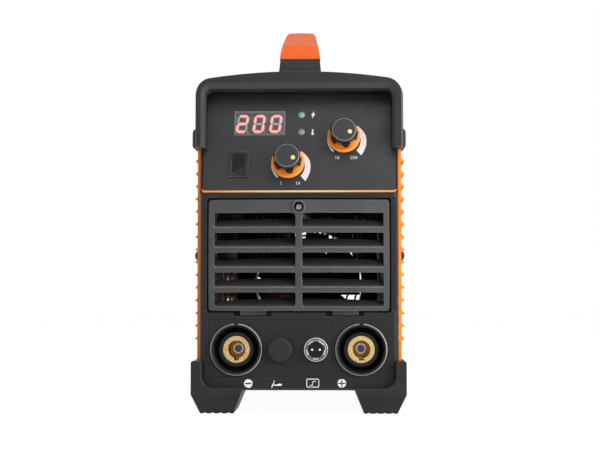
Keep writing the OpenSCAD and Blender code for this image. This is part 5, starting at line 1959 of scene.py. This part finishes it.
class Studio:
    """Floor, backdrop, lights and camera."""

    LIGHTS = (
        SoftBox("key", (0.35, -1.2, 0.95), (0, -0.1, 0.15), (0.9, 0.7), 5.5),
        SoftBox("right_fill", (0.66, -0.68, 0.3), (0, -0.15, 0.13), (0.45, 0.6), 7.0),
        SoftBox("left_fill", (-1.15, -1.15, 0.4), (0, -0.1, 0.15), (0.8, 0.9), 3.0),
        SoftBox("rear_fill", (-0.35, 1.45, 0.6), (0, 0.15, 0.15), (0.9, 0.8), 9.0),
        SoftBox("left_side", (-1.3, 0.45, 0.5), (0, 0, 0.15), (0.9, 0.8), 3.0),
        SoftBox("right_side", (1.3, 0.5, 0.5), (0, 0, 0.15), (0.9, 0.8), 3.0),
        SoftBox("overhead", (0.0, -0.05, 1.35), (0, 0, 0.1), (1.1, 1.3), 1.8),
    )
    AIR_LIGHT = 0.3
    FLOOR_REACH = 6.0
    FLOOR_GAP = 0.0002

    def __init__(self, wardrobe: Wardrobe) -> None:
        """Keeps the finishes.

        Args:
            wardrobe: Finishes.
        """
        self.wardrobe = wardrobe

    def floor(self) -> None:
        """Adds a wide sheet of paper just under the feet."""
        reach, z = self.FLOOR_REACH, -self.FLOOR_GAP
        corners = np.array([[-reach, -reach, z], [reach, -reach, z], [reach, reach, z], [-reach, reach, z]])
        paper = make_mesh("studio_floor", corners, [[0, 1, 2, 3]])
        self.wardrobe.fit(paper, StudioPaper())
        LOG.info("piece studio_floor, stage")

    def world(self) -> None:
        """White behind the machine for the camera and mirrors, softer grey for its light."""
        world = bpy.data.worlds.new("studio_air")
        bpy.context.scene.world = world
        world.use_nodes = True
        tree = world.node_tree
        tree.nodes.clear()
        seen = tree.nodes.new("ShaderNodeBackground")
        seen.inputs["Color"].default_value = (1, 1, 1, 1)
        seen.inputs["Strength"].default_value = 1.0
        lit = tree.nodes.new("ShaderNodeBackground")
        lit.inputs["Color"].default_value = srgb("#f2f4f6")
        lit.inputs["Strength"].default_value = self.AIR_LIGHT
        path = tree.nodes.new("ShaderNodeLightPath").outputs
        direct = path["Is Camera Ray"]
        for other in (path["Is Glossy Ray"], path["Is Transmission Ray"]):
            most = tree.nodes.new("ShaderNodeMath")
            most.operation = "MAXIMUM"
            tree.links.new(direct, most.inputs[0])
            tree.links.new(other, most.inputs[1])
            direct = most.outputs[0]
        mix = tree.nodes.new("ShaderNodeMixShader")
        out = tree.nodes.new("ShaderNodeOutputWorld")
        tree.links.new(direct, mix.inputs[0])
        tree.links.new(lit.outputs[0], mix.inputs[1])
        tree.links.new(seen.outputs[0], mix.inputs[2])
        tree.links.new(mix.outputs[0], out.inputs[0])

    def build(self) -> None:
        """Builds the whole studio."""
        self.floor()
        self.world()
        for light in self.LIGHTS:
            light.build()
        View().build()
        bpy.context.scene.view_settings.view_transform = "Standard"


# ------------------------------------------------------------------ the machine


@dataclass(frozen=True)
class LampSizes:
    """Sizes of the lamps' lenses.

    Attributes:
        radius: Radius of a lens.
        drop: Distance of its middle below the top of the lamp's box.
    """

    radius: float = 2.6
    drop: float = 3.4


class Machine:
    """Finishes and printed details on the CAD frame."""

    def __init__(self, nodes: dict[str, bpy.types.Object], joints: dict[str, dict]) -> None:
        """Keeps the nodes and joints.

        Args:
            nodes: CAD nodes by name.
            joints: CAD joints by name.
        """
        self.wardrobe = Wardrobe(nodes)
        self.marks = ControlMarks(self.wardrobe, joints)

    def window_plane(self) -> Plane:
        """Plane of the face plate with its origin in the middle of the display window's front.

        Returns:
            The plane.
        """
        plane = self.marks.plane_at("current_knob_turn")
        middle = centre_of("display_window")
        away = (middle - plane.origin).dot(plane.out)
        return Plane(middle - plane.out * away, plane.right, plane.up, plane.out)

    def lamps(self) -> None:
        """Gives each lamp its lens."""
        sizes = LampSizes()
        for node, colour, shade, glow in (
            ("power_lamp", "#72a676", "#8c918c", 0.02), ("fault_lamp", "#919190", "#808080", 0.0),
        ):
            low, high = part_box(node)
            centre = (0.5 * (low[0] + high[0]), low[1], high[2] - sizes.drop * MM)
            lens = Lens(f"{node}_lens", centre, sizes.radius, colour, shade, glow)
            self.wardrobe.fit(self.wardrobe.nodes[node], lens)

    def build(self) -> None:
        """Dresses the nodes and adds the pieces."""
        self.wardrobe.dress_nodes()
        self.lamps()
        half = half_of("display_window")
        window = SmokedWindow(tuple(centre_of("display_window")), (half.x, half.z))
        self.wardrobe.fit(self.wardrobe.nodes["display_window"], window)
        stripe = StripePaint(half=half_of("fascia_stripe").x)
        self.wardrobe.fit(self.wardrobe.nodes["fascia_stripe"], stripe)
        Fittings(self.wardrobe, self.marks).build()
        GrilleBow().dress(self.wardrobe)
        self.marks.build()
        Readout(self.wardrobe, self.window_plane()).build("200")
        DialDots(self.wardrobe, self.marks).build()
        ConnectorMarks(self.wardrobe).build()
        RockerMarks().build(self.wardrobe, self.marks.joints["mains_rocker_tilt"])


def main() -> None:
    """Builds the looks and the studio."""
    logging.basicConfig(level=logging.INFO)
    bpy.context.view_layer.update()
    joints = {joint["name"]: joint for joint in frame["joints"]}
    machine = Machine(frame["nodes"], joints)
    machine.build()
    Studio(machine.wardrobe).build()


if __name__ == "__main__":
    main()
